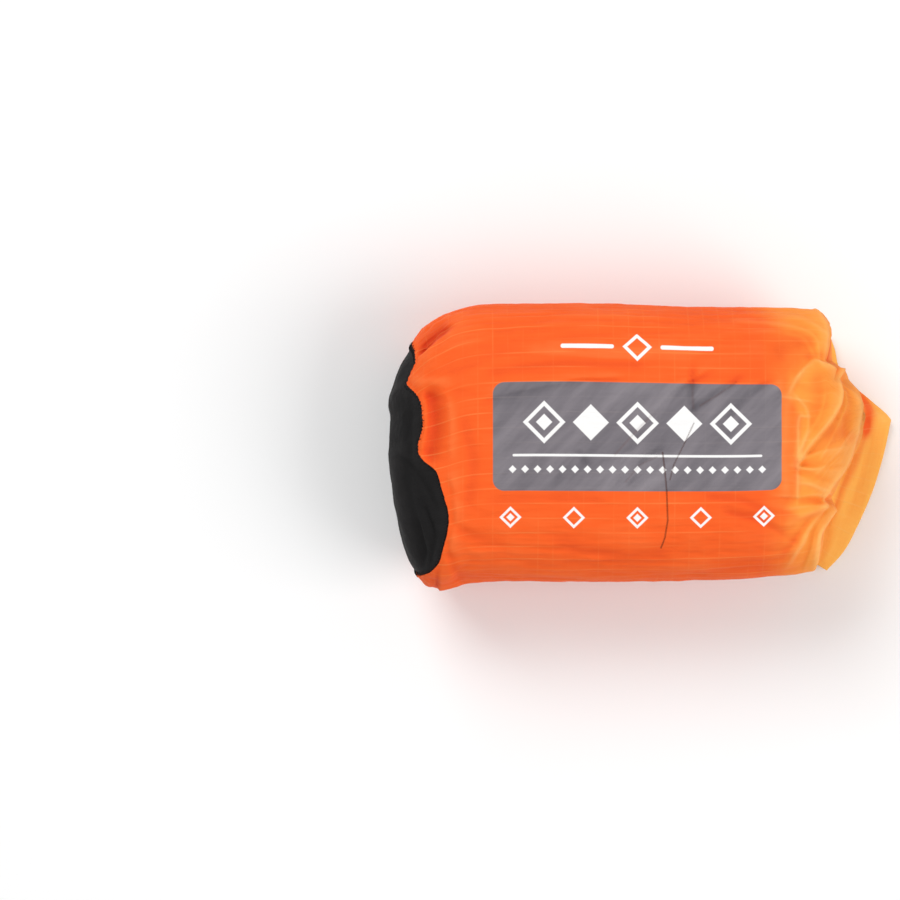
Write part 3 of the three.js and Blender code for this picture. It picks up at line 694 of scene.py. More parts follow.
class NodeBoard:
    """A material's node tree, with a short call for each kind of node that the finishes use."""

    def __init__(self, name: str) -> None:
        """Starts an empty material of a name."""
        self.material = bpy.data.materials.new(name)
        self.material.use_nodes = True
        self.tree = self.material.node_tree
        self.tree.nodes.clear()

    def node(self, kind: str, inputs: dict | None = None, **settings: object) -> bpy.types.Node:
        """Adds a node.

        Args:
            kind: The node's type.
            inputs: What each named or numbered input holds: a socket to link, or a value.
            settings: The node's own properties.

        Returns:
            The node.
        """
        made = self.tree.nodes.new(kind)
        for name, value in settings.items():
            setattr(made, name, value)
        for name, value in (inputs or {}).items():
            self.feed(made.inputs[name], value)
        return made

    def feed(self, socket: bpy.types.NodeSocket, value: object) -> None:
        """Links a socket to another one, or sets its value."""
        if isinstance(value, bpy.types.NodeSocket):
            self.tree.links.new(value, socket)
        else:
            socket.default_value = value

    def math(self, operation: str, *values: object, clamp: bool = False) -> bpy.types.NodeSocket:
        """Adds a sum of one to three values and gives its result."""
        made = self.node("ShaderNodeMath", dict(enumerate(values)), operation=operation, use_clamp=clamp)
        return made.outputs[0]

    def vector(self, operation: str, inputs: dict, output: str) -> bpy.types.NodeSocket:
        """Adds a sum of vectors and gives its result."""
        return self.node("ShaderNodeVectorMath", inputs, operation=operation).outputs[output]

    def mix(self, share: object, start: object, end: object) -> bpy.types.NodeSocket:
        """Mixes two colours by a share and gives the colour."""
        made = self.node("ShaderNodeMix", {0: share, 6: start, 7: end}, data_type="RGBA")
        return made.outputs[2]

    def attribute(self, name: str) -> bpy.types.NodeSocket:
        """Gives the value that a mesh keeps under a name."""
        return self.node("ShaderNodeAttribute", attribute_name=name).outputs["Fac"]

    def cloth_place(self) -> tuple[bpy.types.NodeSocket, bpy.types.NodeSocket]:
        """Gives the place on the flat cloth, along and across the sack, in millimetres."""
        uv = self.node("ShaderNodeUVMap", uv_map="cloth").outputs[0]
        parts = self.node("ShaderNodeSeparateXYZ", {0: uv}).outputs
        return self.math("DIVIDE", parts[0], UV_PER_MM), self.math("DIVIDE", parts[1], UV_PER_MM)

    def place(self, x: object, y: object) -> bpy.types.NodeSocket:
        """Joins two values into a place in the plane."""
        return self.node("ShaderNodeCombineXYZ", {0: x, 1: y}).outputs[0]

    def chance(self, place: object, scale: float, detail: float = 3.0) -> bpy.types.NodeSocket:
        """Gives a smooth chance value from 0 to 1 at a place."""
        inputs = {"Vector": place, "Scale": scale, "Detail": detail, "Roughness": 0.55}
        return self.node("ShaderNodeTexNoise", inputs).outputs["Fac"]

    def weave(self, along: object, across: object, pitch: float) -> bpy.types.NodeSocket:
        """Gives the height of a plain weave's threads, from 0 to 1."""
        turns = [self.math("MULTIPLY", value, 2 * math.pi / pitch) for value in (along, across)]
        waves = [self.math("SINE", turn) for turn in turns]
        return self.math("MULTIPLY_ADD", self.math("MULTIPLY", *waves), 0.5, 0.5)

    def crease(self, place: object, crease: SharpCrease) -> bpy.types.NodeSocket:
        """Draws a thin crease: its strength on its path, fading to 0 within its width."""
        marks = []
        for start, end in zip(crease.path, crease.path[1:]):
            run = (end[0] - start[0], end[1] - start[1], 0.0)
            square = run[0] ** 2 + run[1] ** 2
            away = self.vector("SUBTRACT", {0: place, 1: (*start, 0.0)}, "Vector")
            dot = self.vector("DOT_PRODUCT", {0: away, 1: run}, "Value")
            share = self.math("DIVIDE", dot, square, clamp=True)
            near = self.vector("SCALE", {0: run, "Scale": share}, "Vector")
            gap = self.vector("DISTANCE", {0: away, 1: near}, "Value")
            marks.append(self.math("SUBTRACT", 1.0, self.math("DIVIDE", gap, crease.width), clamp=True))
        nearest = marks[0]
        for mark in marks[1:]:
            nearest = self.math("MAXIMUM", nearest, mark)
        return self.math("MULTIPLY", nearest, crease.strength)

    def bump(self, height: object, distance: float, normal: object = None) -> bpy.types.NodeSocket:
        """Raises a surface by a height from 0 to 1 times a distance in metres."""
        inputs = {"Height": height, "Distance": distance, "Strength": 1.0}
        if normal is not None:
            inputs["Normal"] = normal
        return self.node("ShaderNodeBump", inputs).outputs[0]

    def finish(
        self, colour: object, roughness: object, normal: object, **settings: float
    ) -> bpy.types.Material:
        """Ends the tree with its shader.

        Args:
            colour: The surface's colour.
            roughness: The surface's roughness.
            normal: The surface's raised direction.
            settings: Other values of the shader, by their sockets' names with underscores.

        Returns:
            The material.
        """
        shader = self.node("ShaderNodeBsdfPrincipled", {"Base Color": colour, "Roughness": roughness})
        if normal is not None:
            self.feed(shader.inputs["Normal"], normal)
        for name, value in settings.items():
            shader.inputs[name.replace("_", " ")].default_value = value
        output = self.node("ShaderNodeOutputMaterial")
        self.feed(output.inputs[0], shader.outputs[0])
        return self.material


Colour = tuple[float, float, float, float]


@dataclass(frozen=True)
class Patchiness:
    """A chance pattern of a finish: its scale and detail, and the gain and level that turn it to a share."""

    scale: float
    detail: float
    gain: float
    level: float

    def draw(self, board: NodeBoard, place: object, clamp: bool = True) -> bpy.types.NodeSocket:
        """Draws the pattern at a place."""
        chance = board.chance(place, self.scale, self.detail)
        return board.math("MULTIPLY_ADD", chance, self.gain, self.level, clamp=clamp)


@dataclass(frozen=True)
class PrintedFace:
    """The print on the sack's face: a pale grey plate, a plain ornament on it and small marks round it."""

    board: NodeBoard
    along: bpy.types.NodeSocket
    across: bpy.types.NodeSocket
    tilt: float = 0.006
    edge: float = 0.16
    plate_x: float = -1.7
    plate_y: float = 1.4
    plate_length: float = 70.6
    plate_width: float = 26.5
    plate_corner: float = 2.8
    motif_y: float = 4.8
    motif_pitch: float = 11.4
    motif_reach: float = 5.2
    motif_line: float = 0.9
    filled_reach: float = 4.4
    heart_reach: float = 2.0
    rule_y: float = -3.2
    rule_length: float = 61.0
    rule_width: float = 0.6
    dot_y: float = -6.6
    dot_pitch: float = 3.05
    dots_each_way: int = 10
    dot_reach: float = 0.95
    crown_y: float = 23.6
    crown_reach: float = 3.6
    crown_line: float = 0.8
    bar_x: float = 12.2
    bar_length: float = 13.0
    bar_width: float = 1.1
    mark_y: float = -18.4
    mark_pitch: float = 15.5
    mark_reach: float = 2.7
    mark_line: float = 0.6
    mark_heart: float = 1.0

    def inside(self, distance: object) -> bpy.types.NodeSocket:
        """Turns a distance to an outline into a share of ink."""
        return self.board.math("SUBTRACT", 0.5, self.board.math("DIVIDE", distance, self.edge), clamp=True)

    def off(self, value: object, centre: float) -> bpy.types.NodeSocket:
        """Gives how far a value is from a centre, either way."""
        return self.board.math("ABSOLUTE", self.board.math("SUBTRACT", value, centre))

    def height(self, centre: float) -> bpy.types.NodeSocket:
        """Gives how far a place is from a level across the face, which tilts with the print."""
        return self.off(self.board.math("MULTIPLY_ADD", self.along, self.tilt, self.across), centre)

    def either(self, *inks: object) -> bpy.types.NodeSocket:
        """Joins shares of ink."""
        joined = inks[0]
        for ink in inks[1:]:
            joined = self.board.math("MAXIMUM", joined, ink)
        return joined

    def rectangle(
        self, x: object, y: object, length: float, width: float, corner: float
    ) -> bpy.types.NodeSocket:
        """Draws a round-cornered rectangle about zero."""
        side = self.board.math("SUBTRACT", x, length / 2 - corner)
        end = self.board.math("SUBTRACT", y, width / 2 - corner)
        outside = [self.board.math("MAXIMUM", value, 0.0) for value in (side, end)]
        squares = [self.board.math("MULTIPLY", value, value) for value in outside]
        round_part = self.board.math("SQRT", self.board.math("ADD", *squares))
        flat_part = self.board.math("MINIMUM", self.board.math("MAXIMUM", side, end), 0.0)
        return self.inside(self.board.math("SUBTRACT", self.board.math("ADD", round_part, flat_part), corner))

    def diamond(self, x: object, y: object, reach: float) -> bpy.types.NodeSocket:
        """Gives the distance to a diamond's outline about zero."""
        total = self.board.math("ADD", x, y)
        return self.board.math("MULTIPLY", self.board.math("SUBTRACT", total, reach), 0.7)

    def band(self, distance: object, width: float) -> bpy.types.NodeSocket:
        """Draws a line of a width inside an outline."""
        middle = self.board.math("ABSOLUTE", self.board.math("ADD", distance, width / 2))
        return self.inside(self.board.math("SUBTRACT", middle, width / 2))

    def row(
        self, value: object, pitch: float, each_way: int
    ) -> tuple[bpy.types.NodeSocket, bpy.types.NodeSocket]:
        """Repeats a motif along a value.

        Args:
            value: The place along the row.
            pitch: How far apart the motifs are.
            each_way: How many motifs lie on each side of the middle one.

        Returns:
            How far the place is from its own motif's middle, and whether that motif's number is odd (1) or
            even (0).
        """
        number = self.board.math("ROUND", self.board.math("DIVIDE", value, pitch))
        kept = self.board.math("MINIMUM", self.board.math("MAXIMUM", number, -each_way), each_way)
        away = self.board.math("SUBTRACT", value, self.board.math("MULTIPLY", kept, pitch))
        odd = self.board.math("ABSOLUTE", self.board.math("MODULO", kept, 2.0))
        return self.board.math("ABSOLUTE", away), odd

    def plate(self) -> bpy.types.NodeSocket:
        """Draws the grey plate."""
        x, y = self.off(self.along, self.plate_x), self.height(self.plate_y)
        return self.rectangle(x, y, self.plate_length, self.plate_width, self.plate_corner)

    def ornament(self) -> bpy.types.NodeSocket:
        """Draws the plate's ornament: open and filled diamonds over a ruled line and a row of dots."""
        board = self.board
        x = board.math("SUBTRACT", self.along, self.plate_x)
        away, odd = self.row(x, self.motif_pitch, 2)
        up = self.height(self.motif_y)
        ring = self.band(self.diamond(away, up, self.motif_reach), self.motif_line)
        opened = self.either(ring, self.inside(self.diamond(away, up, self.heart_reach)))
        filled = self.inside(self.diamond(away, up, self.filled_reach))
        opened = board.math("MULTIPLY", opened, board.math("SUBTRACT", 1.0, odd))
        filled = board.math("MULTIPLY", filled, odd)
        aside, level, width = board.math("ABSOLUTE", x), self.height(self.rule_y), self.rule_width
        rule = self.rectangle(aside, level, self.rule_length, width, width / 2)
        dot, _ = self.row(x, self.dot_pitch, self.dots_each_way)
        dots = self.inside(self.diamond(dot, self.height(self.dot_y), self.dot_reach))
        return self.either(opened, filled, rule, dots)

    def marks(self) -> bpy.types.NodeSocket:
        """Draws the marks on the orange: a diamond between two bars above, and a row of diamonds below."""
        board = self.board
        x = board.math("SUBTRACT", self.along, self.plate_x)
        aside, up = board.math("ABSOLUTE", x), self.height(self.crown_y)
        bars = self.rectangle(self.off(aside, self.bar_x), up, self.bar_length, self.bar_width, 0.5)
        crown = self.band(self.diamond(aside, up, self.crown_reach), self.crown_line)
        away, odd = self.row(x, self.mark_pitch, 2)
        down = self.height(self.mark_y)
        ring = self.band(self.diamond(away, down, self.mark_reach), self.mark_line)
        heart = self.inside(self.diamond(away, down, self.mark_heart))
        return self.either(bars, crown, ring, board.math("MULTIPLY", heart, board.math("SUBTRACT", 1.0, odd)))


@dataclass(frozen=True)
class RipstopFinish:
    """Coated orange ripstop: a fine weave with a grid of thicker threads, painted lighter where nothing backs
    it, for the light shining through.
    """

    name: str
    # The first colour is the cloth's own over the load, and also the mouth cloth's painted shade; the fourth
    # is painted light, for light shining through a single ply. Each shade colour is painted shade in hollows
    # and creases, and each light colour is painted highlight on ridges; the single ply's light colour also
    # colours the grid's threads.
    backed: Colour = (0.905, 0.118, 0.018, 1.0)
    backed_shade: Colour = (0.655, 0.046, 0.010, 1.0)
    backed_light: Colour = (0.965, 0.265, 0.075, 1.0)
    lit_through: Colour = (0.960, 0.315, 0.050, 1.0)
    unbacked_shade: Colour = (0.900, 0.175, 0.022, 1.0)
    unbacked_light: Colour = (0.985, 0.470, 0.140, 1.0)
    plate_ink: Colour = (0.192, 0.174, 0.192, 1.0)
    plate_shade: Colour = (0.105, 0.096, 0.110, 1.0)
    plate_light: Colour = (0.270, 0.245, 0.265, 1.0)
    plate_thread: Colour = (0.330, 0.280, 0.270, 1.0)
    white_ink: Colour = (0.900, 0.890, 0.880, 1.0)
    crease_shade: Colour = (0.110, 0.030, 0.016, 1.0)
    grid_pitch: float = 3.7
    grid_width: float = 0.28
    weave_pitch: float = 0.5
    stretch: float = 0.06
    streakiness: float = 0.5
    long_threads: Patchiness = Patchiness(0.9, 3.0, 3.0, -1.15)
    short_threads: Patchiness = Patchiness(0.9, 3.0, 2.4, -1.1)
    dye: Patchiness = Patchiness(0.07, 4.0, 0.5, -0.27)
    # Slanting patches of painted light and shade on the plate, as if its cloth were faceted.
    facet_shading: Patchiness = Patchiness(0.13, 3.0, 3.4, -1.7)
    dullness: Patchiness = Patchiness(0.4, 3.0, 0.2, 0.58)
    thread_share: float = 0.3
    plate_thread_share: float = 0.25
    white_share: float = 0.97
    crease_share: float = 0.6
    weave_height: float = 0.03
    thread_height: float = 0.06
    streak_height: float = 0.12
    crumple_height: float = 0.4
    crease_depth: float = 0.25
    printed: bool = False

    def line(self, board: NodeBoard, value: object) -> bpy.types.NodeSocket:
        """Draws the thicker threads across a value: 1 on a thread, 0 between."""
        away = board.math("PINGPONG", value, self.grid_pitch / 2)
        return board.math("SUBTRACT", 1.0, board.math("DIVIDE", away, self.grid_width), clamp=True)

    def grid(self, board: NodeBoard, along: object, across: object) -> bpy.types.NodeSocket:
        """Draws the grid of thicker threads, which shows here and there more than elsewhere."""
        long_places = board.place(board.math("MULTIPLY", along, 0.05), across)
        short_places = board.place(along, board.math("MULTIPLY", across, 0.05))
        long_share = self.long_threads.draw(board, long_places)
        short_share = self.short_threads.draw(board, short_places)
        kept = board.math("MULTIPLY_ADD", board.attribute("backed"), 0.6, 0.15)
        short_share = board.math("MULTIPLY", short_share, kept)
        long_lines = board.math("MULTIPLY", self.line(board, across), long_share)
        return board.math("MAXIMUM", long_lines, board.math("MULTIPLY", self.line(board, along), short_share))

    def cloth_colour(
        self, board: NodeBoard, place: object, shaded: object, lit: object
    ) -> bpy.types.NodeSocket:
        """Mixes the dyed cloth's colour: painted light where nothing backs it, painted shade and highlight
        where its folds catch the light.
        """
        backed = board.attribute("backed")
        shaded = board.math("ADD", shaded, self.dye.draw(board, place), clamp=True)
        colour = board.mix(backed, self.lit_through, self.backed)
        colour = board.mix(shaded, colour, board.mix(backed, self.unbacked_shade, self.backed_shade))
        return board.mix(lit, colour, board.mix(backed, self.unbacked_light, self.backed_light))

    def plate_colour(
        self, board: NodeBoard, along: object, across: object, shaded: object, lit: object
    ) -> bpy.types.NodeSocket:
        """Mixes the grey plate's colour, with painted light and shade in slanting patches where the cloth
        under it is slack.
        """
        slope = board.math("MULTIPLY", board.math("ADD", along, across), 0.22)
        slanted = board.place(board.math("SUBTRACT", along, across), slope)
        facet = self.facet_shading.draw(board, slanted, clamp=False)
        dark = board.math("SUBTRACT", shaded, board.math("MULTIPLY", facet, 0.8), clamp=True)
        bright = board.math("ADD", lit, board.math("MULTIPLY", facet, 0.9), clamp=True)
        return board.mix(bright, board.mix(dark, self.plate_ink, self.plate_shade), self.plate_light)

    def creased(self, board: NodeBoard, place: object) -> bpy.types.NodeSocket:
        """Draws the thin pressed creases together."""
        creased = 0.0
        for crease in SHARP_CREASES:
            creased = board.math("MAXIMUM", creased, board.crease(place, crease))
        return creased

    def build(self) -> bpy.types.Material:
        """Builds the material."""
        board = NodeBoard(self.name)
        along, across = board.cloth_place()
        place = board.place(along, across)
        lengthwise = (self.stretch, 1.0) if self.printed else (1.0, self.stretch)
        stretched = [board.math("MULTIPLY", *pair) for pair in zip((along, across), lengthwise)]
        streak = board.chance(board.place(*stretched), 0.75, 5.0)
        streaks = board.math("MULTIPLY_ADD", streak, self.streakiness, -self.streakiness / 2)
        # Painted shade in the folds' hollows and painted highlight on their ridges, from the relief value,
        # with chance streaks.
        tone = board.math("ADD", board.math("MULTIPLY", board.attribute("relief"), 1.1), streaks)
        shaded = board.math("MULTIPLY", tone, -0.8, clamp=True)
        lit = board.math("MULTIPLY", tone, 0.7, clamp=True)
        grid = self.grid(board, along, across)
        colour = self.cloth_colour(board, place, shaded, lit)
        colour = board.mix(board.math("MULTIPLY", grid, self.thread_share), colour, self.unbacked_light)
        normal = board.bump(board.weave(along, across, self.weave_pitch), self.weave_height * MM)
        normal = board.bump(grid, self.thread_height * MM, normal)
        normal = board.bump(streak, self.streak_height * MM, normal)
        crumple = board.chance(board.place(board.math("MULTIPLY", along, 0.3), across), 0.4, 5.0)
        normal = board.bump(crumple, self.crumple_height * MM, normal)
        if self.printed:
            face = PrintedFace(board, along, across)
            plate = self.plate_colour(board, along, across, shaded, lit)
            plate = board.mix(board.math("MULTIPLY", grid, self.plate_thread_share), plate, self.plate_thread)
            colour = board.mix(face.plate(), colour, plate)
            white = face.either(face.ornament(), face.marks())
            colour = board.mix(board.math("MULTIPLY", white, self.white_share), colour, self.white_ink)
            # Painted shade along the thin pressed creases, which the bump also dents.
            creased = self.creased(board, place)
            colour = board.mix(board.math("MULTIPLY", creased, self.crease_share), colour, self.crease_shade)
            normal = board.bump(creased, -self.crease_depth * MM, normal)
        roughness = self.dullness.draw(board, place, clamp=False)
        return board.finish(colour, roughness, normal, Specular_IOR_Level=0.1)


@dataclass(frozen=True)
class BlackClothFinish:
    """Close-woven black cloth, faintly grey and glossier in chance rubbed patches, with painted highlight
    along its ribs and painted shade in its hollows.
    """

    name: str = "black_cloth"
    deep: Colour = (0.0110, 0.0104, 0.0106, 1.0)
    worn_and_lit: Colour = (0.0260, 0.0240, 0.0245, 1.0)
    thread_pitch: float = 0.55
    thread_height: float = 0.05
    wear_and_rib_light: Patchiness = Patchiness(0.16, 5.0, 0.9, -0.2)
    dullness: float = 0.78
    sheen: float = 0.12

    def build(self) -> bpy.types.Material:
        """Builds the material."""
        board = NodeBoard(self.name)
        along, across = board.cloth_place()
        place = board.place(along, across)
        wear_and_rib_light = self.wear_and_rib_light.draw(board, place, clamp=False)
        # Painted highlight on the ribs and painted shade in the hollows, from the relief value, join the
        # chance patches here.
        wear_and_rib_light = board.math("ADD", wear_and_rib_light, board.attribute("relief"), clamp=True)
        colour = board.mix(wear_and_rib_light, self.deep, self.worn_and_lit)
        roughness = board.math("MULTIPLY_ADD", wear_and_rib_light, -self.sheen, self.dullness)
        normal = board.bump(board.weave(along, across, self.thread_pitch), self.thread_height * MM)
        normal = board.bump(board.chance(place, 0.3, 4.0), 0.6 * MM, normal)
        return board.finish(colour, roughness, normal, Specular_IOR_Level=0.12)


@dataclass(frozen=True)
class ThreadFinish:
    """Twisted sewing thread, with its turns raised and its colour a little uneven."""

    name: str
    colour: Colour
    lighter: Colour
    turns: float = 900.0

    def build(self) -> bpy.types.Material:
        """Builds the material."""
        board = NodeBoard(self.name)
        place = board.node("ShaderNodeTexCoord").outputs["Object"]
        colour = board.mix(board.chance(place, self.turns), self.colour, self.lighter)
        inputs = {"Vector": place, "Scale": self.turns, "Distortion": 2.0}
        raised = board.node("ShaderNodeTexWave", inputs).outputs["Fac"]
        return board.finish(colour, 0.7, board.bump(raised, 0.04 * MM), Specular_IOR_Level=0.15)


@dataclass
class SackBody:
    """The stuffed orange body: one filled piece of cloth with a lip over the base seam and a gathered end."""

    name: str = "stuffed_sack"
    under_columns: int = 26
    face_columns: int = 70
    face_start: float = 10.0
    recess_rows: int = 3
    body_rows: int = 58
    lip_overlap: float = 0.2
    lip_lift: float = 0.12
    lip_thickness: float = 0.42
    notch_pitch: float = 1.15
    notch_depth: float = 0.4
    notch_reach: float = 0.7
    held_reach: float = 6.0
    least_held: float = 0.04
    rest_height: float = 2.4
    rest_rise: float = 2.0
    loose_reach: float = 1.5
    side_foot: float = 18.0
    side_rise: float = 8.0
    edge_start: float = 17.0
    edge_reach: float = 9.0
    mouth_start: float = 36.0
    mouth_reach: float = 8.0
    gather_top: float = 28.0
    gather_reach: float = 8.0
    shade_foot: float = 12.0
    shade_rise: float = 6.0
    load_wander: float = 0.9
    thinning: tuple[float, float] = (29.0, 36.0)
    thinned: float = 0.62
    # How strongly each kind of fold's height shows as painted shade and painted highlight.
    coarse_relief: float = 0.55
    fine_relief: float = 1.3
    small_relief: float = 0.5
    settling: ClothSettling = field(default_factory=ClothSettling)

    def turns(self) -> np.ndarray:
        """Gives the turn of each column, closer together over the face, starting under the sack."""
        under, across = self.under_columns / 2, self.face_columns
        degrees = (-90, self.face_start, 180 - self.face_start, 270)
        columns = np.arange(2 * under + across + 1)
        return np.radians(np.interp(columns, (0, under, under + across, 2 * under + across), degrees))

    def rings(self, turn: np.ndarray) -> np.ndarray:
        """Lays out the body's rings.

        Args:
            turn: The turn of each column, in radians.

        Returns:
            The points of each ring, from the base's middle through the recess, round the lip and on to the
            gathered end.
        """
        seam_x = FORM.seam_x(turn)
        seam = FORM.station_at(seam_x)
        recess = -(PANEL_THICKNESS + CLEARANCE)
        shares = np.linspace(0, 1, self.recess_rows + 1)
        rings = [FORM.raised(seam * share, turn, recess) for share in shares]
        under = FORM.station_at(seam_x - self.lip_overlap * 0.55)
        front = FORM.station_at(seam_x - self.lip_overlap)
        rings.append(FORM.raised(under, turn, self.lip_lift))
        rings.append(FORM.raised(front, turn, self.lip_lift + self.lip_thickness / 2))
        rings.append(FORM.raised(under, turn, self.lip_lift + self.lip_thickness))
        for row in range(self.body_rows + 1):
            station = FORM.between(seam, row / self.body_rows)
            away = np.maximum(read_smoothly(FORM.sections, station)[:, 0] - seam_x, 0) / LIP_REACH
            swelling = LIP_HEIGHT * away * np.exp(1 - away)
            swelling += (self.lip_lift + self.lip_thickness) * np.exp(-away * 2)
            rings.append(FORM.raised(station, turn, swelling))
        return np.array(rings)

    def flat_cloth(self, points: np.ndarray, turn: np.ndarray) -> np.ndarray:
        """Works out where the points lie on the flat cloth.

        Args:
            points: The rings' points.
            turn: The turn of each column, in radians.

        Returns:
            How far along and across the flat cloth each lies, from the middle of the face.
        """
        steps = np.linalg.norm(np.diff(points, axis=0), axis=-1)
        along = np.concatenate([np.zeros((1, len(turn))), np.cumsum(steps, axis=0)])
        middle_row = np.argmin(np.abs(points[:, :, 0]), axis=0)
        columns = np.arange(len(turn))
        along = along - along[middle_row, columns] + points[middle_row, columns, 0]
        middle = FORM.point(np.full_like(turn, FORM.station_at(np.array([0.0]))[0]), turn)
        around = np.concatenate([[0], np.cumsum(np.linalg.norm(np.diff(middle, axis=0), axis=-1))])
        across = np.interp(np.pi / 2, turn, around) - around
        return np.stack([along, np.broadcast_to(across, along.shape)], axis=-1)

    def build(self) -> bpy.types.Object:
        """Builds the body's cloth."""
        turn = self.turns()
        points = self.rings(turn)
        piece = cloth_grid(self.name, points, self.flat_cloth(points, turn))
        self.let_settle(piece)
        smooth_piece(piece, 2)
        self.crease(piece.data)
        return piece

    def let_settle(self, piece: bpy.types.Object) -> None:
        """Lets the body's cloth swell and crumple, with its recess, lip and resting patch held."""
        points = read_points(piece.data)
        held = np.clip(1.0 - FORM.from_seam(points) / self.held_reach, self.least_held, 1.0)
        held = np.maximum(held, ramp(points[:, 2], self.rest_height, -self.rest_rise))
        move = self.settling.settle(piece, held)
        settled = points + move * (1 - np.clip(held - self.least_held, 0, 1))[:, None]
        settled[:, 2] = np.maximum(settled[:, 2], 0)
        write_points(piece.data, settled)

    def wrinkles(self, points: np.ndarray) -> np.ndarray:
        """Works out the small chance wrinkles, long where the cloth is taut and deeper towards the mouth."""
        x, y, z = points.T
        edge = ramp(np.abs(y - 1), self.edge_start, self.edge_reach)
        mouth = ramp(x, self.mouth_start, self.mouth_reach)
        around = ramp(z, self.gather_top, -self.gather_reach) * mouth
        taut = 0.5 - np.abs(unevenness(points * np.array([0.07, 1.0, 1.0]), 4.2, 2))
        pulled = unevenness(points * np.array([0.24, 1.0, 1.0]), 5.0)
        crumpled = unevenness(points, 7.5)
        gathers = unevenness(points * np.array([0.14, 1.0, 1.0]), 6.0, 2)
        small = taut * (0.08 + 0.3 * edge) * (1 - mouth) + pulled * (0.08 + 0.22 * edge * (1 - mouth))
        return small + crumpled * (0.1 + 0.1 * mouth + 0.06 * edge) + gathers * around

    def crease(self, mesh: bpy.types.Mesh) -> None:
        """Presses the folds and creases into the cloth, and keeps what its material reads, with the folds'
        heights for painted shade and painted highlight.
        """
        points, normals = read_points(mesh), read_normals(mesh)
        x, y = points[:, 0], points[:, 1]
        from_seam = FORM.from_seam(points)
        loose = ramp(from_seam, 0.0, self.loose_reach)
        face = np.clip(normals[:, 2] * FACE_SHARPNESS, 0, 1) * loose
        sides = ramp(points[:, 2], self.side_foot, self.side_rise) * loose
        coarse, fine = (
            sum(fold.relief(x, y) * (sides if fold.steep else face) for fold in folds)
            for folds in (BASE_FOLDS + MOUTH_FOLDS, FACE_CREASES + MOUTH_RIBS)
        )
        small = self.wrinkles(points) * loose * np.clip(points[:, 2] / 2, 0, 1)
        upright = np.clip(2 * normals[:, 2] - 0.4, 0, 1)[:, None]
        pressed = normals * (1 - upright) + np.array([0, 0, 1.0]) * upright
        moved = points + normals * small[:, None] + pressed * (coarse + fine)[:, None]
        moved[:, 0] += FORM.lobe_reach(points)
        moved[:, 0] += self.notches(points, from_seam)
        moved[:, 2] = np.maximum(moved[:, 2], 0)
        write_points(mesh, moved)
        write_values(mesh, "backed", self.backed(points))
        # Painted shade in the folds' hollows and painted highlight on their ridges, as the material reads
        # this relief value.
        relief = coarse * self.coarse_relief + fine * self.fine_relief + small * self.small_relief
        write_values(mesh, "relief", np.clip(relief, -1, 1))

    def backed(self, points: np.ndarray) -> np.ndarray:
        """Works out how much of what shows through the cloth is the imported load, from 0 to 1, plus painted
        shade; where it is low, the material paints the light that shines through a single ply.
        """
        x, y, z = points.T
        edge = np.array([astuple(row) for row in LOAD_EDGE])
        place = np.interp(y, edge[:, 0], edge[:, 1]) + unevenness(points, 6.0) * self.load_wander
        softness = np.interp(y, edge[:, 0], edge[:, 2])
        backed = np.clip(0.5 - (x - place) / (2 * softness), 0, 1)
        backed *= np.interp(x, self.thinning, (1, self.thinned))
        shade = sum(fold.relief(x, y) for fold in BODY_SHADES)
        # Painted shade in the pleats' hollows and the slit by the top corner, shown as the deeper orange.
        backed += shade * ramp(z, self.shade_foot, self.shade_rise)
        return np.clip(backed, 0, 1)

    def notches(self, points: np.ndarray, from_seam: np.ndarray) -> np.ndarray:
        """Gives the shift that draws small notches in the lip's edge, where the stitches pull it in."""
        on_lip = np.clip(1 - np.abs(from_seam + self.lip_overlap) / self.notch_reach, 0, 1)
        around = np.arctan2(points[:, 2] - 24, points[:, 1]) * 30
        tooth = np.abs((around / self.notch_pitch) % 1 - 0.5) * 2 * np.clip((points[:, 1] + 4) / 3, 0.1, 1)
        depth = self.notch_depth * tooth * (1 + unevenness(points, 3.0))
        return on_lip * (depth + unevenness(points, 5.0) * 0.2)


@dataclass
class BasePanel:
    """The black base: one sheet of cloth in the body's recess, its rim tucked under the orange lip."""

    name: str = "base_cloth"
    columns: int = 96
    rows: int = 14
    thickness: float = 0.7
    flat_length: float = 70.0
    flat_width: float = 47.0
    sinking: float = 0.3
    seam_reach: float = 4.0
    fold_foot: float = 14.0
    fold_rise: float = 8.0
    wave_size: float = 12.0
    wave_height: float = 0.35
    ripple_size: float = 4.0
    ripple_height: float = 0.1

    def build(self) -> bpy.types.Object:
        """Builds the panel's cloth."""
        turn = np.linspace(0, 2 * np.pi, self.columns + 1)
        rim = FORM.station_at(FORM.seam_x(turn) - 0.05)
        rings = np.array([FORM.raised(rim * row / self.rows, turn, 0.0) for row in range(self.rows + 1)])
        piece = cloth_grid(self.name, rings, rings[:, :, 1:])
        smooth_piece(piece, 2)
        self.crease(piece.data)
        shell = piece.modifiers.new("thickness", "SOLIDIFY")
        shell.thickness = self.thickness * MM
        shell.offset = -1
        apply_modifiers(piece)
        return piece

    def crease(self, mesh: bpy.types.Mesh) -> None:
        """Gives the cloth its folds and soft waves, which run out at the seam."""
        points, normals = read_points(mesh), read_normals(mesh)
        loose = ramp(-FORM.from_seam(points), 0.0, self.seam_reach)
        upper = ramp(points[:, 2], self.fold_foot, self.fold_rise)
        folds = sum(fold.relief(points[:, 0], points[:, 1]) for fold in PANEL_FOLDS) * upper
        waves = unevenness(points * np.array([1.0, 0.7, 1.0]), self.wave_size) * self.wave_height
        waves += unevenness(points, self.ripple_size) * self.ripple_height
        height = (waves - self.sinking + folds) * loose
        write_points(mesh, points + normals * height[:, None])
        # Painted highlight on the cloth's ridges and painted shade in its hollows, as the black material
        # reads this relief value.
        write_values(mesh, "relief", np.clip(height * 0.45, -0.4, 0.5))


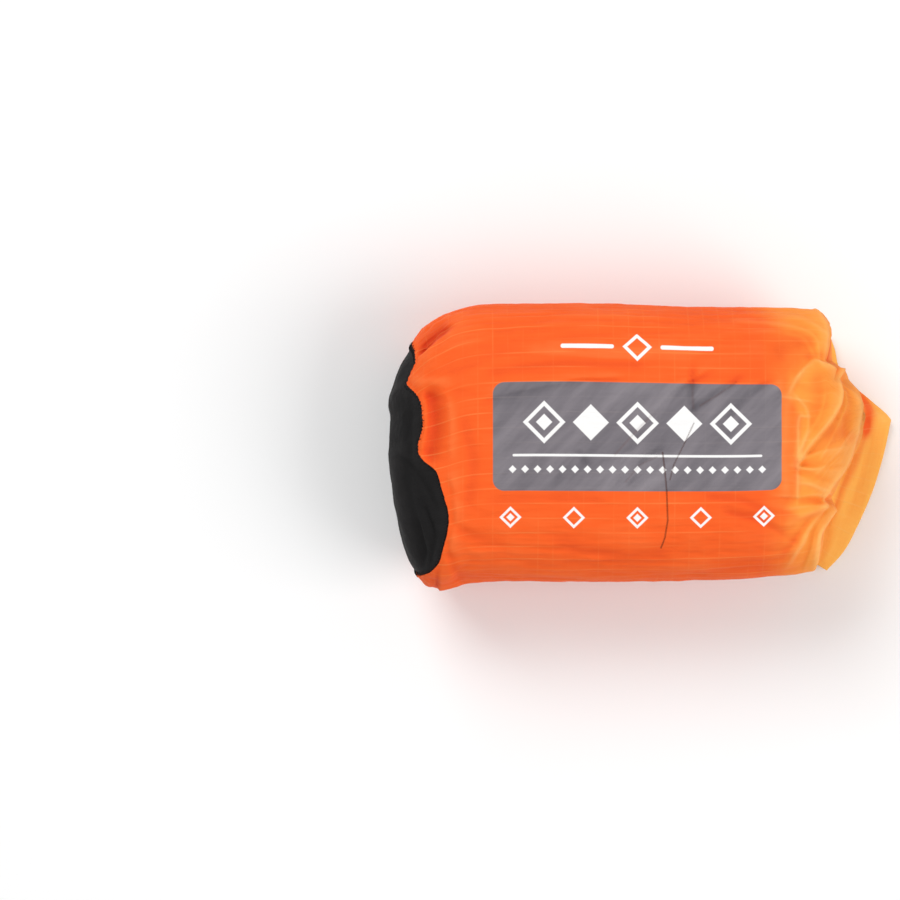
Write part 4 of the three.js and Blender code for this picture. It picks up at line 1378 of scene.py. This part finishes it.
@dataclass
class FoldedMouth:
    """The loose mouth cloth: one sheet folded under the gathered end, with its hem on the floor."""

    name: str = "folded_mouth_cloth"
    rows: int = 110
    steps: int = 96
    thickness: float = 1.1
    flat_length: float = 76.0
    flat_width: float = 30.0
    flat_start: float = 60.0
    slope_share: float = 0.62
    samples: int = 240
    wave_size: float = 8.0
    wave_height: float = 0.3
    ripple_size: float = 3.0
    ripple_height: float = 0.08
    loose_height: float = 2.2
    loose_rise: float = 1.4
    shade_height: float = 1.8
    shade_rise: float = 0.8

    def line(self, station: MouthStation) -> np.ndarray:
        """Gives the line that the cloth follows at a station: from the body, round the fold, to the hem."""
        half = MOUTH_THICKNESS / 2
        upper = MOUTH_FOLD_HEIGHT - half
        seat = FORM.underside(station.root_x, station.root_y) - SEAT_GAP - half
        root = np.array([station.root_x, station.root_y, seat])
        edge = np.array([station.edge_x, station.edge_y, (upper + half) / 2])
        hem = np.array([station.hem_x, station.hem_y, half])
        back = (root - edge) * np.array([1, 1, 0])
        back /= np.linalg.norm(back)

        def behind(distance: float, height: float) -> np.ndarray:
            """Gives a point behind the folded edge, at a height."""
            point = edge + back * distance
            return np.array([point[0], point[1], height])

        shoulder = behind(half + edge[2], upper)
        low_shoulder = behind(half + edge[2], half)
        sloping = (root + shoulder) / 2
        sloping[2] = root[2] + (upper - root[2]) * self.slope_share
        fold = behind(self.thickness / 2, edge[2])
        knots = np.array([root, sloping, shoulder, fold, low_shoulder, (hem + low_shoulder) / 2, hem])
        dense = read_smoothly(knots, np.linspace(0, len(knots) - 1, self.samples))
        length = np.concatenate([[0], np.cumsum(np.linalg.norm(np.diff(dense, axis=0), axis=1))])
        places = np.linspace(0, length[-1], self.steps + 1)
        return np.stack([np.interp(places, length, dense[:, axis]) for axis in range(3)], axis=1)

    def build(self) -> bpy.types.Object:
        """Builds the mouth's cloth."""
        table = np.array([astuple(row) for row in FOLDED_MOUTH])
        stations = read_smoothly(table, np.linspace(0, len(table) - 1, self.rows + 1))
        points = np.array([self.line(MouthStation(*row)) for row in stations])
        edge_steps = np.linalg.norm(np.diff(stations[:, :2], axis=0), axis=1)
        across = np.concatenate([[0], np.cumsum(edge_steps)])
        steps = np.linalg.norm(np.diff(points, axis=1), axis=-1)
        along = np.concatenate([np.zeros((len(points), 1)), np.cumsum(steps, axis=1)], axis=1)
        flat = np.stack([along + self.flat_start, np.broadcast_to(-across[:, None], along.shape)], axis=-1)
        piece = cloth_grid(self.name, points, flat)
        self.crease(piece.data)
        shell = piece.modifiers.new("thickness", "SOLIDIFY")
        shell.thickness = self.thickness * MM
        shell.offset = 0
        rounding = piece.modifiers.new("subdivision", "SUBSURF")
        rounding.levels = rounding.render_levels = 1
        apply_modifiers(piece)
        return piece

    def crease(self, mesh: bpy.types.Mesh) -> None:
        """Gives the cloth its folds and soft waves, and paints shade on it where the gathered end's pleats
        overhang it.
        """
        points, normals = read_points(mesh), read_normals(mesh)
        x, y = points[:, 0], points[:, 1]
        loose = ramp(points[:, 2], self.loose_height, self.loose_rise)
        waves = unevenness(points * np.array([1.0, 0.45, 1.0]), self.wave_size) * self.wave_height
        waves += unevenness(points, self.ripple_size) * self.ripple_height
        folds = sum(fold.relief(x, y) for fold in FLAP_FOLDS)
        height = (waves + folds) * loose
        write_points(mesh, points + normals * height[:, None])
        # Painted shade on the upper ply, beside the pleats.
        shade = sum(fold.relief(x, y) for fold in FLAP_SHADES)
        shade = shade * ramp(points[:, 2], self.shade_height, self.shade_rise)
        # The folds' heights, for painted shade in their hollows and painted highlight on their ridges.
        write_values(mesh, "relief", np.clip(height * 0.7, -1, 1))
        write_values(mesh, "backed", np.clip(shade, 0, 1))


@dataclass
class SeamStitches:
    """The stitches that close the base seam: short bars of black thread over the orange lip's edge."""

    name: str = "seam_stitches"
    pitch: float = 1.15
    thickness: float = 0.23
    reach: float = 0.52
    back: float = 0.4
    tail: float = 0.35
    height: float = 0.5
    covered: tuple[tuple[float, float], ...] = ((36.0, 62.0), (88.0, 168.0))
    covered_share: float = 0.2
    wander: float = 0.45

    def build(self) -> bpy.types.Object:
        """Builds the stitches, joined in one mesh."""
        turn = np.linspace(0, 2 * np.pi, 2000)
        seam_x = FORM.seam_x(turn)
        line = FORM.raised(FORM.station_at(seam_x), turn, self.height)
        length = np.concatenate([[0], np.cumsum(np.linalg.norm(np.diff(line, axis=0), axis=1))])
        count = round(length[-1] / self.pitch)
        bm = bmesh.new()
        for number in range(count):
            wander = noise.noise(Vector((number * 0.7, 0.0, 0.0)))
            at = np.interp((number + 0.5 * wander) / count * length[-1], length, turn)
            hidden = any(low < np.degrees(at) < high for low, high in self.covered)
            bite = (self.reach + self.wander * wander) * (self.covered_share if hidden else 1.0)
            self.add_stitch(bm, np.array([at]), bite)
        return add_piece(self.name, bm)

    def add_stitch(self, bm: bmesh.types.BMesh, turn: np.ndarray, bite: float) -> None:
        """Adds one stitch to the mesh.

        Args:
            bm: The mesh.
            turn: Where the stitch crosses the seam.
            bite: How far it reaches over the lip, in millimetres.
        """
        seam_x = FORM.seam_x(turn)
        start = FORM.raised(FORM.station_at(seam_x - self.back - self.tail), turn, 0.1)[0]
        top = FORM.raised(FORM.station_at(seam_x - self.back), turn, self.height)[0]
        end = FORM.raised(FORM.station_at(seam_x - self.back + bite), turn, self.height + 0.06)[0]
        for low, high in ((start, top), (top, end)):
            run = Vector(high - low)
            middle = Vector((low + high) / 2 + MIDDLE)
            made = bmesh.ops.create_icosphere(bm, subdivisions=1, radius=0.5 * MM)["verts"]
            size = Vector((self.thickness, self.thickness, run.length * 1.3 + 0.1))
            bmesh.ops.scale(bm, vec=size, verts=made)
            matrix = run.to_track_quat("Z", "Y").to_matrix()
            bmesh.ops.rotate(bm, cent=(0, 0, 0), matrix=matrix, verts=made)
            bmesh.ops.translate(bm, vec=middle * MM, verts=made)


class Softness(Enum):
    """How soft a studio light is, as the length of its side in metres."""

    BROAD = 1.6
    MIDDLE = 0.8


@dataclass(frozen=True)
class StudioLight:
    """A square light that faces the sack: its place in metres, its power and its softness."""

    name: str
    place: tuple[float, float, float]
    watts: float
    softness: Softness


@dataclass
class Studio:
    """A pale floor, soft light and the camera at the photograph's angle."""

    camera_x: float = -47.5
    camera_y: float = -0.9
    camera_height: float = 1225.0
    view_plane: float = 25.0
    view_width: float = 225.0
    sensor_width: float = 36.0
    sky: Colour = (1.0, 1.0, 1.0, 1.0)
    sky_strength: float = 0.45
    floor_shade: Colour = (0.90, 0.90, 0.90, 1.0)
    floor_light: Colour = (0.93, 0.93, 0.93, 1.0)
    lights: tuple[StudioLight, ...] = (
        StudioLight("key", (-0.55, 0.8, 1.15), 12.0, Softness.MIDDLE),
        StudioLight("fill", (0.1, -0.75, 0.9), 1.4, Softness.BROAD),
        StudioLight("side", (0.85, -0.3, 0.95), 7.2, Softness.MIDDLE),
    )

    def build(self) -> None:
        """Builds the floor, the lights and the camera."""
        self.add_floor()
        for light in self.lights:
            self.add_light(light)
        world = bpy.data.worlds.new("studio")
        world.use_nodes = True
        background = world.node_tree.nodes["Background"]
        background.inputs[0].default_value = self.sky
        background.inputs[1].default_value = self.sky_strength
        bpy.context.scene.world = world
        bpy.context.scene.view_settings.view_transform = "Standard"
        self.add_camera()

    def add_floor(self) -> None:
        """Adds the floor."""
        bm = bmesh.new()
        bmesh.ops.create_grid(bm, x_segments=1, y_segments=1, size=3.0)
        mesh = bpy.data.meshes.new("floor")
        bm.to_mesh(mesh)
        bm.free()
        floor = bpy.data.objects.new("floor", mesh)
        bpy.context.scene.collection.objects.link(floor)
        board = NodeBoard("floor_paper")
        place = board.node("ShaderNodeTexCoord").outputs["Object"]
        colour = board.mix(board.chance(place, 3.0), self.floor_shade, self.floor_light)
        mesh.materials.append(board.finish(colour, 0.9, None))

    def add_light(self, light: StudioLight) -> None:
        """Adds a light."""
        data = bpy.data.lights.new(light.name, "AREA")
        data.energy = light.watts
        data.size = light.softness.value
        lamp = bpy.data.objects.new(light.name, data)
        lamp.location = light.place
        lamp.rotation_euler = (-Vector(light.place)).to_track_quat("-Z", "Y").to_euler()
        bpy.context.scene.collection.objects.link(lamp)

    def add_camera(self) -> None:
        """Adds the camera, straight over the face."""
        data = bpy.data.cameras.new("camera")
        data.sensor_width = self.sensor_width
        data.lens = data.sensor_width * (self.camera_height - self.view_plane) / self.view_width
        camera = bpy.data.objects.new("camera", data)
        camera.location = (np.array([self.camera_x, self.camera_y, self.camera_height]) + MIDDLE) * MM
        bpy.context.scene.collection.objects.link(camera)
        bpy.context.scene.camera = camera


def dress(piece: bpy.types.Object, material: bpy.types.Material, node: str | None) -> None:
    """Gives a piece its material and its place in the part.

    Args:
        piece: The finished piece.
        material: Its material.
        node: The solid that it stands for, if any.
    """
    piece.data.materials.clear()
    piece.data.materials.append(material)
    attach(piece, "root")
    if node:
        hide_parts(node)
    LOG.info("%s: %d faces", piece.name, len(piece.data.polygons))


def main() -> None:
    """Builds the sack's pieces in order, and the studio."""
    logging.basicConfig(level=logging.INFO, format="%(message)s")
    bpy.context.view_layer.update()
    body = SackBody().build()
    dress(body, RipstopFinish("printed_ripstop", printed=True).build(), "sack_body")
    panel_maker = BasePanel()
    panel = panel_maker.build()
    dress(panel, BlackClothFinish().build(), "base_panel")
    mouth_maker = FoldedMouth()
    mouth = mouth_maker.build()
    # Painted light: lighter colours for the mouth cloth, for the light through its single ply, also where the
    # body shades it.
    loose_cloth = RipstopFinish("loose_ripstop", lit_through=(0.980, 0.450, 0.085, 1.0),
                                unbacked_shade=(0.930, 0.260, 0.034, 1.0),
                                unbacked_light=(0.990, 0.580, 0.190, 1.0), streakiness=0.9)
    dress(mouth, loose_cloth.build(), "folded_mouth")
    thread = ThreadFinish("black_thread", (0.007, 0.007, 0.007, 1.0), (0.022, 0.020, 0.020, 1.0))
    dress(SeamStitches().build(), thread.build(), None)
    Studio().build()


if __name__ == "__main__":
    main()
